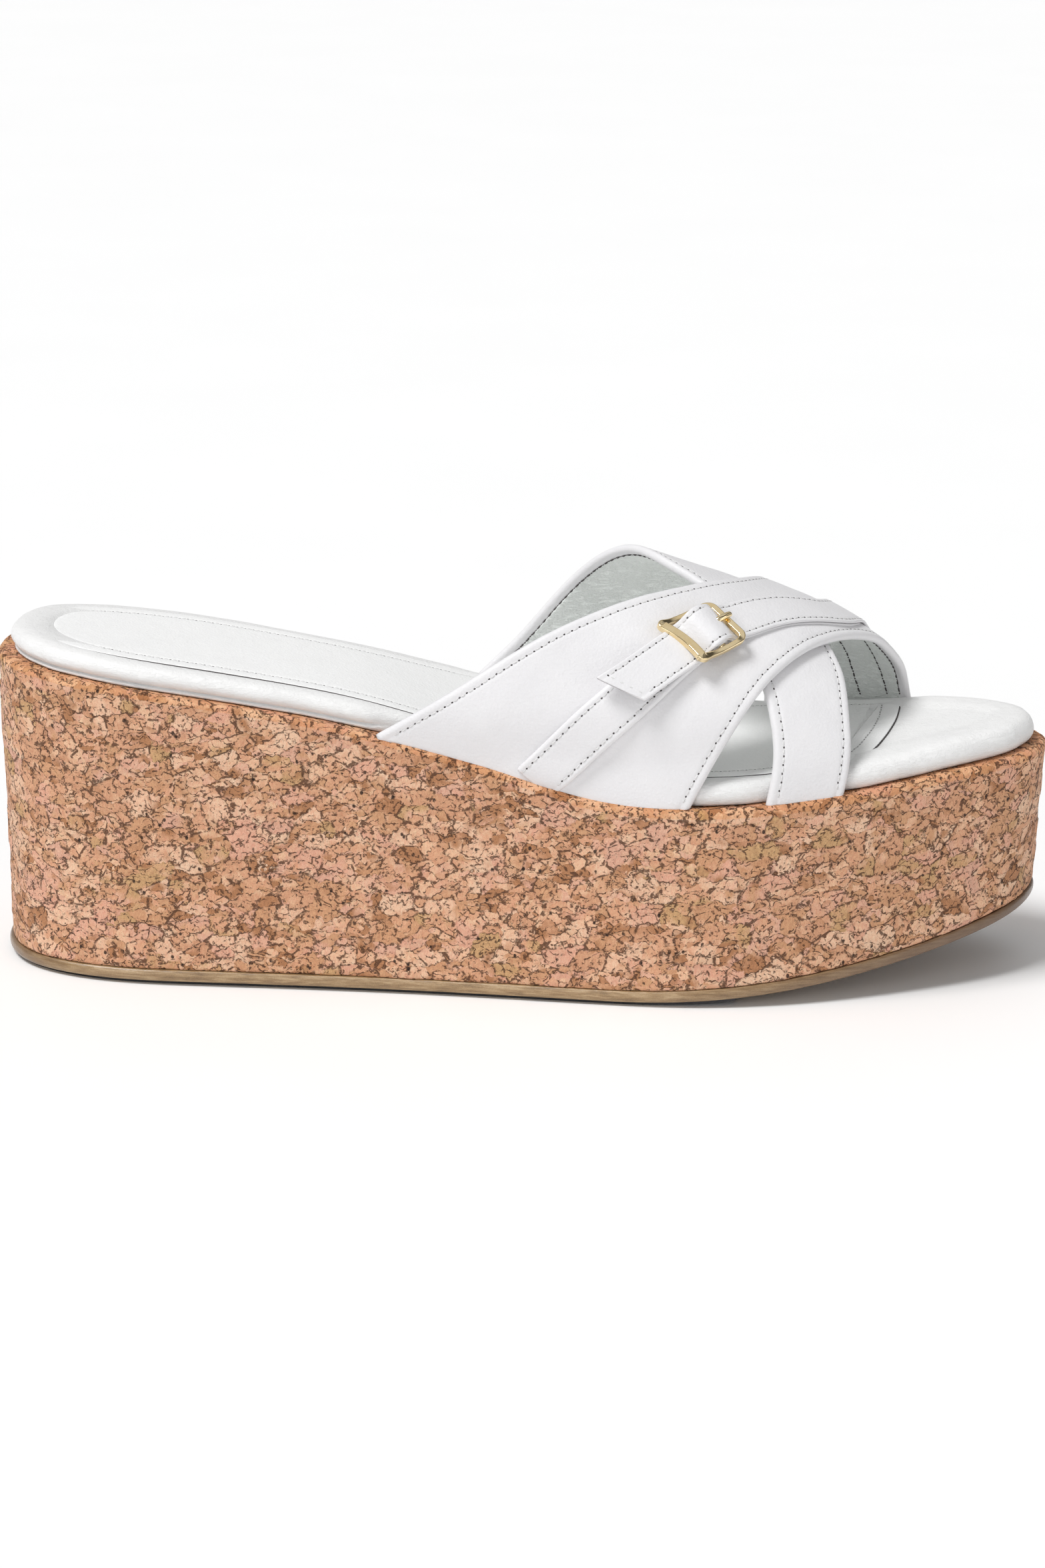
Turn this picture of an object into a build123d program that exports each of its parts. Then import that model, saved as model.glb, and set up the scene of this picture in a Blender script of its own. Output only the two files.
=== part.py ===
from build123d import *
import os
from math import atan2, cos, degrees, hypot, radians, sin, sqrt

os.makedirs("parts", exist_ok=True)

# Wedge sandal, right foot. +X points to the toe, +Y to the inner side of the foot, +Z up.
# The origin is on the ground, at the middle of the length and of the width.
# All sizes in millimetres.

# ---- overall sizes ----
length = 250.0
ball_width = 82.8
heel_height = 75.8
platform_height = 49.0
toe_height = 55.4
instep_height = 47.5
toe_spring = 16.0
spring_start = 22.0

# ---- sole and wedge ----
tread_thickness = 1.0
tread_inset = 1.6
tread_front = 52.0
outsole_thickness = 2.75
cork_thickness = 1.5
cork_lip = 11.0
wall_overshoot = 8.0
heel_flare = 2.3
side_flare = 1.1
toe_flare = 2.1

# ---- footbed ----
footbed_gap = 0.5
board_thickness = 1.2
foam_thickness = 1.55
cover_thickness = 0.75
sock_thickness = 0.7
sock_inset = 6.4
sock_front = 91.5
sock_slant = 26.0

# ---- uppers ----
leather_thickness = 1.3
lining_thickness = 0.9
layer_gap = 0.05
wall_inset = 2.6
margin_width = 8.5
filler_gap = 0.3
crossing_gap = 0.15
seat_gap = 0.02

# ---- buckle strap ----
strap_width = 12.0
strap_thickness = 1.4
anchor_width = 11.0
anchor_thickness = 1.6
strap_clearance = 0.65
strap_end_gap = 0.15
loop_tail = 1.6
over_gap = 0.35
tail_length = 23.0
buckle_angle = 54.3

# ---- buckle ----
bar_radius = 1.0
frame_length = 14.5
side_bar = 1.5
side_gap = 0.75
pin_clearance = 0.05
prong_radius = 0.75
prong_ring_width = 1.6
prong_ring_thickness = 0.8
prong_slot_gap = 0.25
prong_root = 0.9
prong_sink = 0.3
prong_past = 0.9
prong_gap = 0.7
hole_width = 2.6
hole_shift = 0.8
centre_bar_height = 2.4
front_bar_height = 4.2
rear_bar_height = 6.4
bar_slack = 1.2
knee_length = 1.8


# ---- shape of the shoe ----
def smooth(stations, position):
    """Smooth curve through (position, value) stations, straight beyond both ends."""
    count = len(stations)
    slopes = []
    for i in range(count):
        before = stations[max(i - 1, 0)]
        after = stations[min(i + 1, count - 1)]
        slopes.append((after[1] - before[1]) / (after[0] - before[0]))
    if position <= stations[0][0]:
        return stations[0][1] + slopes[0] * (position - stations[0][0])
    if position >= stations[-1][0]:
        return stations[-1][1] + slopes[-1] * (position - stations[-1][0])
    i = 0
    while position > stations[i + 1][0]:
        i += 1
    step = stations[i + 1][0] - stations[i][0]
    t = (position - stations[i][0]) / step
    rise = stations[i + 1][1] - stations[i][1]
    value = stations[i][1] + rise * t * t * (3 - 2 * t)
    value += step * slopes[i] * t * (1 - t) ** 2
    value += step * slopes[i + 1] * t * t * (t - 1)
    return value


# Side of the plan outline, as (part of the length, part of the ball width).
outer_side = [(-0.472, -0.231), (-0.40, -0.355), (-0.30, -0.390), (-0.18, -0.407), (-0.06, -0.437),
              (0.06, -0.479), (0.16, -0.500), (0.26, -0.455), (0.36, -0.340), (0.432, -0.225),
              (0.476, -0.112), (0.494, -0.015)]
inner_side = [(-0.472, 0.254), (-0.40, 0.354), (-0.30, 0.371), (-0.18, 0.337), (-0.06, 0.361),
              (0.06, 0.442), (0.16, 0.500), (0.26, 0.483), (0.36, 0.412), (0.432, 0.318),
              (0.476, 0.230), (0.494, 0.158)]
heel_point = (-0.5, 0.021)
toe_point = (0.5, 0.072)

# Height of the wedge top: 1 is the heel height and 0 the platform height.
heel_rise = [(-0.5, 1.0), (-0.4, 0.907), (-0.28, 0.769), (-0.16, 0.593), (-0.04, 0.313),
             (0.08, 0.03), (0.2, 0.0), (0.5, 0.0)]
# The same for the rise toward the toe.
toe_rise = [(-0.5, 0.0), (0.08, 0.0), (0.2, 0.0), (0.32, 0.37), (0.42, 0.81), (0.5, 1.0)]
# Height of the foot above the platform, as part of the instep height.
foot_rise = [(-0.28, 1.66), (-0.14, 1.45), (0.0, 1.22), (0.12, 1.0), (0.2, 0.86), (0.264, 0.737),
             (0.328, 0.568), (0.384, 0.358)]


def top(x):
    """Height of the wedge's top surface."""
    part = x / length
    heel = (heel_height - platform_height) * smooth(heel_rise, part)
    toe = (toe_height - platform_height) * smooth(toe_rise, part)
    return platform_height + heel + toe


def outer_y(x):
    return ball_width * smooth(outer_side, x / length)


def inner_y(x):
    return ball_width * smooth(inner_side, x / length)


def crest(x):
    """Height of the highest line of the foot under the straps."""
    return platform_height + instep_height * smooth(foot_rise, x / length)


plan = [heel_point] + outer_side + [toe_point] + inner_side[::-1]
plan_mm = [(p[0] * length, p[1] * ball_width) for p in plan]


def outline(inset, height=0.0):
    """Points round the shoe, moved inward by the inset and outward by the wall's flare."""
    points = []
    count = len(plan_mm)
    for i, (x, y) in enumerate(plan_mm):
        before = plan_mm[i - 1]
        after = plan_mm[(i + 1) % count]
        tangent = (after[0] - before[0], after[1] - before[1])
        size = hypot(tangent[0], tangent[1])
        nx = tangent[1] / size
        ny = -tangent[0] / size
        end_flare = heel_flare if x < 0 else toe_flare
        flare = side_flare * ny * ny + end_flare * nx * nx
        move = flare * min(height / top(x), 1.3) ** 2 - inset
        points.append((x + nx * move, y + ny * move))
    return points


reach = length * 0.56
profile_x = [-reach + 2 * reach * i / 16 for i in range(17)]


def top_points(offset):
    return [(x, top(max(-length / 2, min(x, length / 2))) + offset) for x in profile_x]


def rocker(offset):
    """Underside of the sole: flat, then rising toward the toe."""
    far = reach - spring_start
    rise = toe_spring * (far / (length / 2 - spring_start)) ** 2
    start = Line((-reach, offset), (spring_start, offset))
    curve = Bezier((spring_start, offset), (spring_start + far / 2, offset), (reach, offset + rise))
    return start, curve


# Bands of side view, pushed across the whole width, that cut the layers out of the outline.
def layer(inset, low, high, window=None):
    """Sheet that follows the wedge top between two heights above it."""
    with BuildPart() as sheet:
        with BuildSketch(Plane.XY):
            with BuildLine():
                Spline(outline(inset), periodic=True)
            make_face()
            if window is not None:
                with BuildLine():
                    Spline(outline(window), periodic=True)
                make_face(mode=Mode.SUBTRACT)
        extrude(amount=heel_height + 40)
        with BuildSketch(Plane.XZ):
            with BuildLine():
                low_curve = Spline(top_points(low))
                high_curve = Spline(top_points(high))
                Line(low_curve @ 0, high_curve @ 0)
                Line(low_curve @ 1, high_curve @ 1)
            make_face()
        extrude(amount=ball_width, both=True, mode=Mode.INTERSECT)
    return sheet.part


def wall_block(inset, low, high):
    """Block with the flared wall, between the rocker at one height and the top at another."""
    with BuildPart() as block:
        for i in range(4):
            height = (heel_height + 2 * wall_overshoot) * i / 3 - wall_overshoot
            with BuildSketch(Plane.XY.offset(height)):
                with BuildLine():
                    Spline(outline(inset, max(height, 0.0)), periodic=True)
                make_face()
        loft()
        with BuildSketch(Plane.XZ):
            with BuildLine():
                start, curve = rocker(low)
                high_curve = Spline(top_points(high))
                Line(start @ 0, high_curve @ 0)
                Line(curve @ 1, high_curve @ 1)
            make_face()
        extrude(amount=ball_width, both=True, mode=Mode.INTERSECT)
    return block.part


def sole_sheet(inset, low, high):
    """Sheet that follows the rocker under the wedge."""
    with BuildPart() as sheet:
        with BuildSketch(Plane.XY.offset(-5)):
            with BuildLine():
                Spline(outline(inset), periodic=True)
            make_face()
        extrude(amount=60)
        with BuildSketch(Plane.XZ):
            with BuildLine():
                start, curve = rocker(low)
                start_up, curve_up = rocker(high)
                Line(start @ 0, start_up @ 0)
                Line(curve @ 1, curve_up @ 1)
            make_face()
        extrude(amount=ball_width, both=True, mode=Mode.INTERSECT)
    return sheet.part


# ---- sole ----
sole_top = tread_thickness + outsole_thickness
with BuildPart() as rubber_tread:
    add(sole_sheet(tread_inset, 0.0, tread_thickness))
    with Locations((tread_front + length / 2, 0, 0)):
        Box(length, 2 * ball_width, 60, mode=Mode.SUBTRACT)
with BuildPart() as outsole:
    add(sole_sheet(-0.4, tread_thickness, sole_top))

# ---- wedge: a light core, wrapped in a cork sheet turned in over both edges ----
with BuildPart() as cork_wrap:
    add(wall_block(0.0, sole_top, 0.0))
    add(wall_block(cork_thickness, sole_top + cork_thickness, -cork_thickness), mode=Mode.SUBTRACT)
    with BuildSketch(Plane.XY.offset(-2)):
        with BuildLine():
            Spline(outline(cork_lip), periodic=True)
        make_face()
    extrude(amount=heel_height + 10, mode=Mode.SUBTRACT)
with BuildPart() as wedge_core:
    add(wall_block(0.0, sole_top, 0.0))
    add(cork_wrap.part, mode=Mode.SUBTRACT)

# ---- straps over the foot ----
axis_height = platform_height + 1.0
roundness = 2.4
inner_lean = 6.0
# Heights over the foot's skin of the lining and the leather, and over the wedge of their margins.
lining_low = 0.0
lining_high = lining_thickness
outer_low = lining_high + layer_gap
outer_high = outer_low + leather_thickness
margin_step = leather_thickness + layer_gap
margin_top = margin_step + lining_thickness


def foot_radius(x, angle):
    """Distance from the long axis to the foot's skin, the angle counted up from the outer side."""
    outer = outer_y(x) + wall_inset
    inner = inner_y(x) - wall_inset
    half = (inner - outer) / 2
    middle = (inner + outer) / 2
    base = top(x)
    height = crest(x) - base
    near = 5.0
    away = 160.0
    for _ in range(40):
        radius = (near + away) / 2
        y = -radius * cos(radians(angle))
        level = max((axis_height + radius * sin(radians(angle)) - base) / height, 0.0)
        side = abs((y - middle - inner_lean * level * level) / half)
        if side ** roundness + level ** roundness < 1:
            near = radius
        else:
            away = radius
    return near


def on_foot(x, angle, offset):
    radius = foot_radius(x, angle) + offset
    return Vector(x, -radius * cos(radians(angle)), axis_height + radius * sin(radians(angle)))


def skin_normal(x, angle):
    """Outward direction of the foot's skin."""
    along = on_foot(x + 0.5, angle, 0) - on_foot(x - 0.5, angle, 0)
    around = on_foot(x, angle + 0.7, 0) - on_foot(x, angle - 0.7, 0)
    return along.cross(around).normalized()


# Edges of the two crossing bands: angle round the foot, and part of the length.
wide_rear = [(-8, -0.25), (22, -0.14), (39, -0.052), (52, 0.022), (67, 0.112), (83, 0.172),
             (100, 0.205), (125, 0.228), (150, 0.236), (188, 0.238)]
wide_front = [(-8, 0.152), (10, 0.176), (30, 0.207), (42, 0.229), (53.5, 0.253), (72, 0.288),
              (90, 0.313), (112, 0.337), (132, 0.358), (150, 0.372), (172, 0.384), (188, 0.388)]
cross_rear = [(-8, 0.226), (15, 0.236), (35, 0.229), (60, 0.208), (72, 0.194), (84, 0.175),
              (95, 0.142), (101, 0.122), (110, 0.104), (119, 0.076), (129, 0.040), (141, -0.001),
              (157, -0.052), (188, -0.10)]
cross_front = [(-8, 0.298), (17, 0.308), (36, 0.306), (58, 0.300), (80, 0.282), (95, 0.258),
               (112, 0.225), (130, 0.194), (150, 0.172), (188, 0.160)]
section_angles = [-6, 1, 8, 15, 22, 30, 38, 54, 70, 86, 102, 118, 126, 134, 142, 150, 158, 167, 176, 186]


def lift(angle):
    """Extra height of the wide band where it runs over the cross band."""
    return (outer_high + crossing_gap) * smooth([(8, 0.0), (14, 0.0), (30, 1.0), (40, 1.0), (118, 1.0),
                                                 (130, 1.0), (150, 0.0), (160, 0.0)],
                                                max(8, min(angle, 160)))


def flat(angle):
    return 0.0


def band(rear, front, low, high, raised):
    """Curved sheet over the foot between two edges."""
    with BuildPart() as sheet:
        for angle in section_angles:
            first = length * smooth(rear, angle)
            last = length * smooth(front, angle)
            stations = [first + (last - first) * i / 4 for i in range(5)]
            raise_by = raised(angle)
            radii = [foot_radius(x, angle) + raise_by for x in stations]
            facing = (0, -sin(radians(angle)), -cos(radians(angle)))
            with BuildSketch(Plane(origin=(0, 0, axis_height), x_dir=(1, 0, 0), z_dir=facing)):
                with BuildLine():
                    inside = Spline([(x, r + low) for x, r in zip(stations, radii)])
                    outside = Spline([(x, r + high) for x, r in zip(stations, radii)])
                    Line(inside @ 0, outside @ 0)
                    Line(inside @ 1, outside @ 1)
                make_face()
        loft()
    return sheet.part


def above(offset):
    """Everything above the wedge top."""
    with BuildPart() as space:
        with BuildSketch(Plane.XZ):
            with BuildLine():
                low_curve = Spline(top_points(offset))
                high_line = Line((-reach, 3 * heel_height), (reach, 3 * heel_height))
                Line(low_curve @ 0, high_line @ 0)
                Line(low_curve @ 1, high_line @ 1)
            make_face()
        extrude(amount=ball_width, both=True)
    return space.part


# Where the bands go down to the wedge: start and end along X, and the side they are on.
wide_feet = [(-0.130, 0.152, -1), (0.246, 0.378, 1)]
cross_feet = [(0.235, 0.296, -1), (-0.048, 0.156, 1)]


def margin(feet, inset, low, high):
    """Edge of a band turned in under the footbed."""
    with BuildPart() as turned:
        add(layer(inset, low, high, wall_inset + margin_width))
        with BuildPart(mode=Mode.INTERSECT):
            for start, end, side in feet:
                middle = length * (start + end) / 2
                with Locations((middle, side * ball_width / 2, heel_height / 2)):
                    Box(length * (end - start), ball_width, 2 * heel_height)
    return turned.part


def upper(rear, front, feet, low, high, raised, margin_low):
    """Band with its turned-in margins."""
    skin_inset = wall_inset - (low + high) / 2
    with BuildPart() as piece:
        add(band(rear, front, low, high, raised))
        add(above(margin_low), mode=Mode.INTERSECT)
        add(margin(feet, skin_inset, margin_low, margin_low + high - low))
    return piece.part


with BuildPart() as cross_band:
    add(upper(cross_rear, cross_front, cross_feet, outer_low, outer_high, flat, seat_gap))
with BuildPart() as cross_lining:
    add(upper(cross_rear, cross_front, cross_feet, lining_low, lining_high, flat, margin_step))
with BuildPart() as wide_band:
    add(upper(wide_rear, wide_front, wide_feet, outer_low, outer_high, lift, seat_gap))
with BuildPart() as wide_lining:
    add(upper(wide_rear, wide_front, wide_feet, lining_low, lining_high, lift, margin_step))

# ---- footbed ----
footbed_inset = wall_inset + footbed_gap
filler_top = margin_top + layer_gap
board_top = filler_top + board_thickness
foam_top = board_top + foam_thickness
cover_top = foam_top + cover_thickness
with BuildPart() as filler_sheet:
    add(layer(wall_inset + margin_width + filler_gap, 0.0, filler_top - layer_gap))
with BuildPart() as insole_board:
    add(layer(footbed_inset + cover_thickness, filler_top, board_top))
with BuildPart() as footbed_foam:
    add(layer(footbed_inset + cover_thickness, board_top, foam_top))
with BuildPart() as footbed_cover:
    add(layer(footbed_inset, filler_top, cover_top))
    add(layer(footbed_inset + cover_thickness, filler_top - 1, foam_top), mode=Mode.SUBTRACT)
with BuildPart() as sock_liner:
    add(layer(sock_inset, cover_top, cover_top + sock_thickness))
    with BuildSketch(Plane.XY):
        with BuildLine():
            tip = ThreePointArc((sock_front - sock_slant, -ball_width / 2), (sock_front - 2, 6),
                                (sock_front, ball_width / 2))
            Polyline(tip @ 0, (-length, -ball_width / 2), (-length, ball_width / 2), tip @ 1)
        make_face()
    extrude(amount=heel_height + 40, mode=Mode.INTERSECT)

# ---- buckle strap ----
strap_line = [(-4, -0.006), (6, 0.016), (24, 0.068), (33, 0.102), (buckle_angle, 0.1696),
              (61, 0.196), (72, 0.232), (84, 0.268), (96, 0.294), (112, 0.307), (130, 0.315),
              (150, 0.332), (165, 0.345), (188, 0.352)]


def strap_point(angle, height):
    """Point over the wide band, and the strap's direction and the outward direction there."""
    x = length * smooth(strap_line, angle)
    base = outer_high + lift(angle)
    place = on_foot(x, angle, base)
    ahead = length * smooth(strap_line, angle + 0.5)
    forward = on_foot(ahead, angle + 0.5, outer_high + lift(angle + 0.5)) - place
    outward = skin_normal(x, angle)
    forward = (forward - outward * forward.dot(outward)).normalized()
    return place + outward * height, forward, outward


def distance_table():
    """Stations (distance along the strap from angle 6, angle)."""
    table = [(0.0, 6.0)]
    for step in range(1, 48):
        angle = 6.0 + 2.0 * step
        gap = strap_point(angle, 0)[0] - strap_point(angle - 2.0, 0)[0]
        table.append((table[-1][0] + gap.length, angle))
    return table


strap_table = distance_table()
buckle_distance = smooth([(angle, distance) for distance, angle in strap_table], buckle_angle)


def angle_at(distance):
    """Angle at a distance along the strap from the buckle, positive toward the inner side."""
    return smooth(strap_table, buckle_distance + distance)


def ribbon(stops, width, thickness):
    """Flat strap through stops given as (angle, height of its underside)."""
    with BuildPart() as strap:
        for angle, height in stops:
            place, forward, outward = strap_point(angle, height + thickness / 2)
            across = outward.cross(forward)
            with BuildSketch(Plane(origin=place, x_dir=across, z_dir=forward)):
                Rectangle(width, thickness)
        loft()
    return strap.part


buckle_place, buckle_forward, buckle_outward = strap_point(buckle_angle, 0)
buckle_plane = Plane(origin=buckle_place, x_dir=buckle_forward, z_dir=buckle_outward)
frame_width = strap_width + 2 * (side_gap + side_bar)
half_frame = frame_length / 2 - bar_radius
side_plane = Plane(origin=buckle_place, x_dir=buckle_forward,
                   z_dir=buckle_forward.cross(buckle_outward))
loop_outer = bar_radius + pin_clearance + anchor_thickness / 2
strap_over = centre_bar_height + loop_outer + over_gap
strap_under_rear = rear_bar_height - bar_radius - strap_thickness - bar_slack
strap_under_front = front_bar_height - bar_radius - strap_thickness - bar_slack
knee = half_frame - knee_length
# Height of the strap's underside, by distance from the centre bar.
strap_heights = [(-tail_length, strap_under_rear + 0.5), (-0.7 * tail_length, strap_under_rear),
                 (-half_frame - 3, strap_under_rear), (-half_frame, strap_under_rear),
                 (-knee, strap_under_rear + 0.1), (-knee / 2, strap_over - 0.35), (0.0, strap_over),
                 (knee / 2, strap_over - 1.5), (knee, strap_under_front + 0.1),
                 (half_frame, strap_under_front),
                 (half_frame + 3.5, strap_clearance), (half_frame + 8, strap_clearance)]
over_distances = [-half_frame - (tail_length - half_frame) * i / 6 for i in range(6, -1, -1)]
over_distances += [-knee, -knee / 2, 0.0, knee / 2, knee]
over_distances += [half_frame + step for step in (0.0, 2.4, 5.2, 8.8, 13.2)]
over_stops = [(angle_at(d), smooth(strap_heights, min(d, half_frame + 8))) for d in over_distances]
over_stops += [(angle, strap_clearance) for angle in range(86, 159, 8)]
over_stops += [(angle, strap_clearance) for angle in (167, 176, 184)]
with BuildPart() as buckle_strap:
    add(ribbon(over_stops, strap_width, strap_thickness))
    add(above(strap_end_gap), mode=Mode.INTERSECT)
    with BuildSketch(buckle_plane):
        with Locations((half_frame / 2 - hole_shift, 0)):
            SlotOverall(half_frame, hole_width)
    extrude(amount=12, mode=Mode.SUBTRACT)

# Lower strap: a folded strip whose end goes round the centre bar of the buckle.
anchor_end = loop_outer + loop_tail
anchor_stops = [(angle, strap_clearance) for angle in (-6, 1, 8, 15, 22, 30, 38, 45)]
anchor_stops.append((angle_at(-anchor_end), strap_clearance))
with BuildPart() as anchor_strap:
    add(ribbon(anchor_stops, anchor_width, anchor_thickness))
    add(above(strap_end_gap), mode=Mode.INTERSECT)
    with BuildSketch(side_plane):
        with Locations((0, centre_bar_height)):
            Circle(loop_outer)
        with BuildLine():
            Polyline((-anchor_end - 0.4, strap_clearance),
                     (-anchor_end - 0.4, strap_clearance + anchor_thickness),
                     (-loop_outer * 0.6, centre_bar_height + loop_outer * 0.75),
                     (loop_outer * 0.3, centre_bar_height - loop_outer * 0.93), close=True)
        make_face()
    extrude(amount=anchor_width / 2, both=True)
    with BuildSketch(side_plane):
        with Locations((0, centre_bar_height)):
            Circle(bar_radius + pin_clearance)
    extrude(amount=anchor_width, both=True, mode=Mode.SUBTRACT)
    with BuildSketch(buckle_plane):
        Rectangle(2 * loop_outer + prong_root, prong_ring_width + 2 * prong_slot_gap)
    extrude(amount=12, mode=Mode.SUBTRACT)
    with BuildSketch(buckle_plane):
        Rectangle(2 * loop_outer + prong_root, prong_ring_width + 2 * prong_slot_gap)
    extrude(amount=-3, mode=Mode.SUBTRACT)

# ---- buckle ----
rear = (-half_frame, rear_bar_height)
centre = (0.0, centre_bar_height)
front = (half_frame, front_bar_height)
with BuildPart() as buckle_frame:
    with BuildSketch(side_plane):
        with BuildLine():
            Polyline(rear, centre, front)
            offset(amount=bar_radius)
        make_face()
    extrude(amount=frame_width / 2, both=True)
    with BuildSketch(buckle_plane):
        Rectangle(2 * (half_frame - bar_radius), frame_width - 2 * side_bar)
    extrude(amount=12, both=True, mode=Mode.SUBTRACT)
    with BuildSketch(side_plane):
        with Locations(centre):
            Circle(bar_radius)
    extrude(amount=frame_width / 2 - side_bar / 2, both=True)


def rod(start, end, radius):
    """Round bar between two points."""
    return Plane(origin=start, z_dir=end - start) * Cylinder(
        radius, (end - start).length, align=(Align.CENTER, Align.CENTER, Align.MIN), mode=Mode.PRIVATE)


prong_start = Vector(prong_root, 0, centre_bar_height + bar_radius + prong_radius - prong_sink)
prong_tip = Vector(half_frame + prong_past, 0, front_bar_height + bar_radius + prong_radius + prong_gap)
with BuildPart() as buckle_prong:
    with BuildSketch(side_plane):
        with Locations((0, centre_bar_height)):
            Circle(bar_radius + pin_clearance + prong_ring_thickness)
            Circle(bar_radius + pin_clearance, mode=Mode.SUBTRACT)
    extrude(amount=prong_ring_width / 2, both=True)
    add(buckle_plane * rod(prong_start, prong_tip, prong_radius))
    add(buckle_plane * Pos(prong_tip) * Sphere(prong_radius, mode=Mode.PRIVATE))
    with BuildSketch(side_plane):
        with Locations((0, centre_bar_height)):
            Circle(bar_radius + pin_clearance)
    extrude(amount=prong_ring_width, both=True, mode=Mode.SUBTRACT)

pieces = {
    "rubber_tread": rubber_tread,
    "outsole": outsole,
    "wedge_core": wedge_core,
    "cork_wrap": cork_wrap,
    "filler_sheet": filler_sheet,
    "insole_board": insole_board,
    "footbed_foam": footbed_foam,
    "footbed_cover": footbed_cover,
    "sock_liner": sock_liner,
    "cross_band": cross_band,
    "cross_lining": cross_lining,
    "wide_band": wide_band,
    "wide_lining": wide_lining,
    "buckle_strap": buckle_strap,
    "anchor_strap": anchor_strap,
    "buckle_frame": buckle_frame,
    "buckle_prong": buckle_prong,
}
for label, piece in pieces.items():
    piece.part.label = label
    export_step(piece.part, "parts/" + label + ".step")
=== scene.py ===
import math

import bmesh
import bpy
import numpy as np
from mathutils import Matrix, Vector, noise

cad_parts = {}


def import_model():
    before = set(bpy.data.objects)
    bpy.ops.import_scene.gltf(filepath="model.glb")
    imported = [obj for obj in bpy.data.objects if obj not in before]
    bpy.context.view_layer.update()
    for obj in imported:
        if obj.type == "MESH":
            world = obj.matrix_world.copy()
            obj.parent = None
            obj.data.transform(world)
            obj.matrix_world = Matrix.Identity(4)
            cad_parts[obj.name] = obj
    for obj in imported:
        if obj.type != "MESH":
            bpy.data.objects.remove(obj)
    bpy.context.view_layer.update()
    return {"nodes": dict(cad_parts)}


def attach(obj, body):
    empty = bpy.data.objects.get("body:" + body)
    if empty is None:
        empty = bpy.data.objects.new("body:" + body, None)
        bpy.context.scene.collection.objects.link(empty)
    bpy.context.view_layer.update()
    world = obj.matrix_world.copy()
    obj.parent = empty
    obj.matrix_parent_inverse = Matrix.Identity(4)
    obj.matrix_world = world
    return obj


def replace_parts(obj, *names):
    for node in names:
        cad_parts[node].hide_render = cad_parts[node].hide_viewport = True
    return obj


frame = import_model()

# Lengths below are in millimetres, and become metres when a mesh is made.
MM = 0.001
WELD = 0.02

# ---------------------------------------------------------------- shape of the shoe
LENGTH, BALL = 250.0, 82.8
HEEL_H, PLAT_H, TOE_H, INSTEP_H = 75.8, 49.0, 55.4, 47.5
SPRING, SPRING_X = 16.0, 22.0
SOLE_LOW, SOLE_TOP = 1.0, 3.75
HEEL_FLARE, SIDE_FLARE, TOE_FLARE = 2.3, 1.1, 2.1
WALL_INSET, AXIS_H, LEAN, ROUND = 2.6, PLAT_H + 1.0, 6.0, 2.4

OUTER = [(-0.472, -0.231), (-0.40, -0.355), (-0.30, -0.390), (-0.18, -0.407), (-0.06, -0.437),
         (0.06, -0.479), (0.16, -0.500), (0.26, -0.455), (0.36, -0.340), (0.432, -0.225),
         (0.476, -0.112), (0.494, -0.015)]
INNER = [(-0.472, 0.254), (-0.40, 0.354), (-0.30, 0.371), (-0.18, 0.337), (-0.06, 0.361),
         (0.06, 0.442), (0.16, 0.500), (0.26, 0.483), (0.36, 0.412), (0.432, 0.318),
         (0.476, 0.230), (0.494, 0.158)]
HEEL_POINT, TOE_POINT = (-0.5, 0.021), (0.5, 0.072)
HEEL_RISE = [(-0.5, 1.0), (-0.4, 0.907), (-0.28, 0.769), (-0.16, 0.593), (-0.04, 0.313),
             (0.08, 0.03), (0.2, 0.0), (0.5, 0.0)]
TOE_RISE = [(-0.5, 0.0), (0.08, 0.0), (0.2, 0.0), (0.32, 0.37), (0.42, 0.81), (0.5, 1.0)]
FOOT_RISE = [(-0.28, 1.66), (-0.14, 1.45), (0.0, 1.22), (0.12, 1.0), (0.2, 0.86), (0.264, 0.737),
             (0.328, 0.568), (0.384, 0.358)]


def smooth(stations, x):
    """The CAD's curve through (position, value) stations."""
    s = np.array(stations, float)
    x = np.asarray(x, float)
    px, pv = s[:, 0], s[:, 1]
    lo = np.maximum(np.arange(len(s)) - 1, 0)
    hi = np.minimum(np.arange(len(s)) + 1, len(s) - 1)
    slope = (pv[hi] - pv[lo]) / (px[hi] - px[lo])
    i = np.clip(np.searchsorted(px, x, side="right") - 1, 0, len(s) - 2)
    step = px[i + 1] - px[i]
    t = np.clip((x - px[i]) / step, 0, 1)
    v = pv[i] + (pv[i + 1] - pv[i]) * t * t * (3 - 2 * t)
    v = v + step * slope[i] * t * (1 - t) ** 2 + step * slope[i + 1] * t * t * (t - 1)
    v = v + np.where(x < px[0], slope[0] * (x - px[0]), 0)
    return v + np.where(x > px[-1], slope[-1] * (x - px[-1]), 0)


def eased(fn, low, high, step, sigma):
    """Table of a curve with its small kinks smoothed away."""
    x = np.arange(low, high + step, step)
    v = fn(x)
    reach = int(4 * sigma / step)
    kernel = np.exp(-0.5 * (np.arange(-reach, reach + 1) * step / sigma) ** 2)
    kernel /= kernel.sum()
    left = v[0] + (v[0] - v[1]) * np.arange(reach, 0, -1)
    right = v[-1] + (v[-1] - v[-2]) * np.arange(1, reach + 1)
    soft = np.convolve(np.concatenate([left, v, right]), kernel, mode="valid")
    return lambda q: np.interp(q, x, soft)


def top_raw(x):
    p = np.clip(x, -LENGTH / 2, LENGTH / 2) / LENGTH
    return PLAT_H + (HEEL_H - PLAT_H) * smooth(HEEL_RISE, p) + (TOE_H - PLAT_H) * smooth(TOE_RISE, p)


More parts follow.
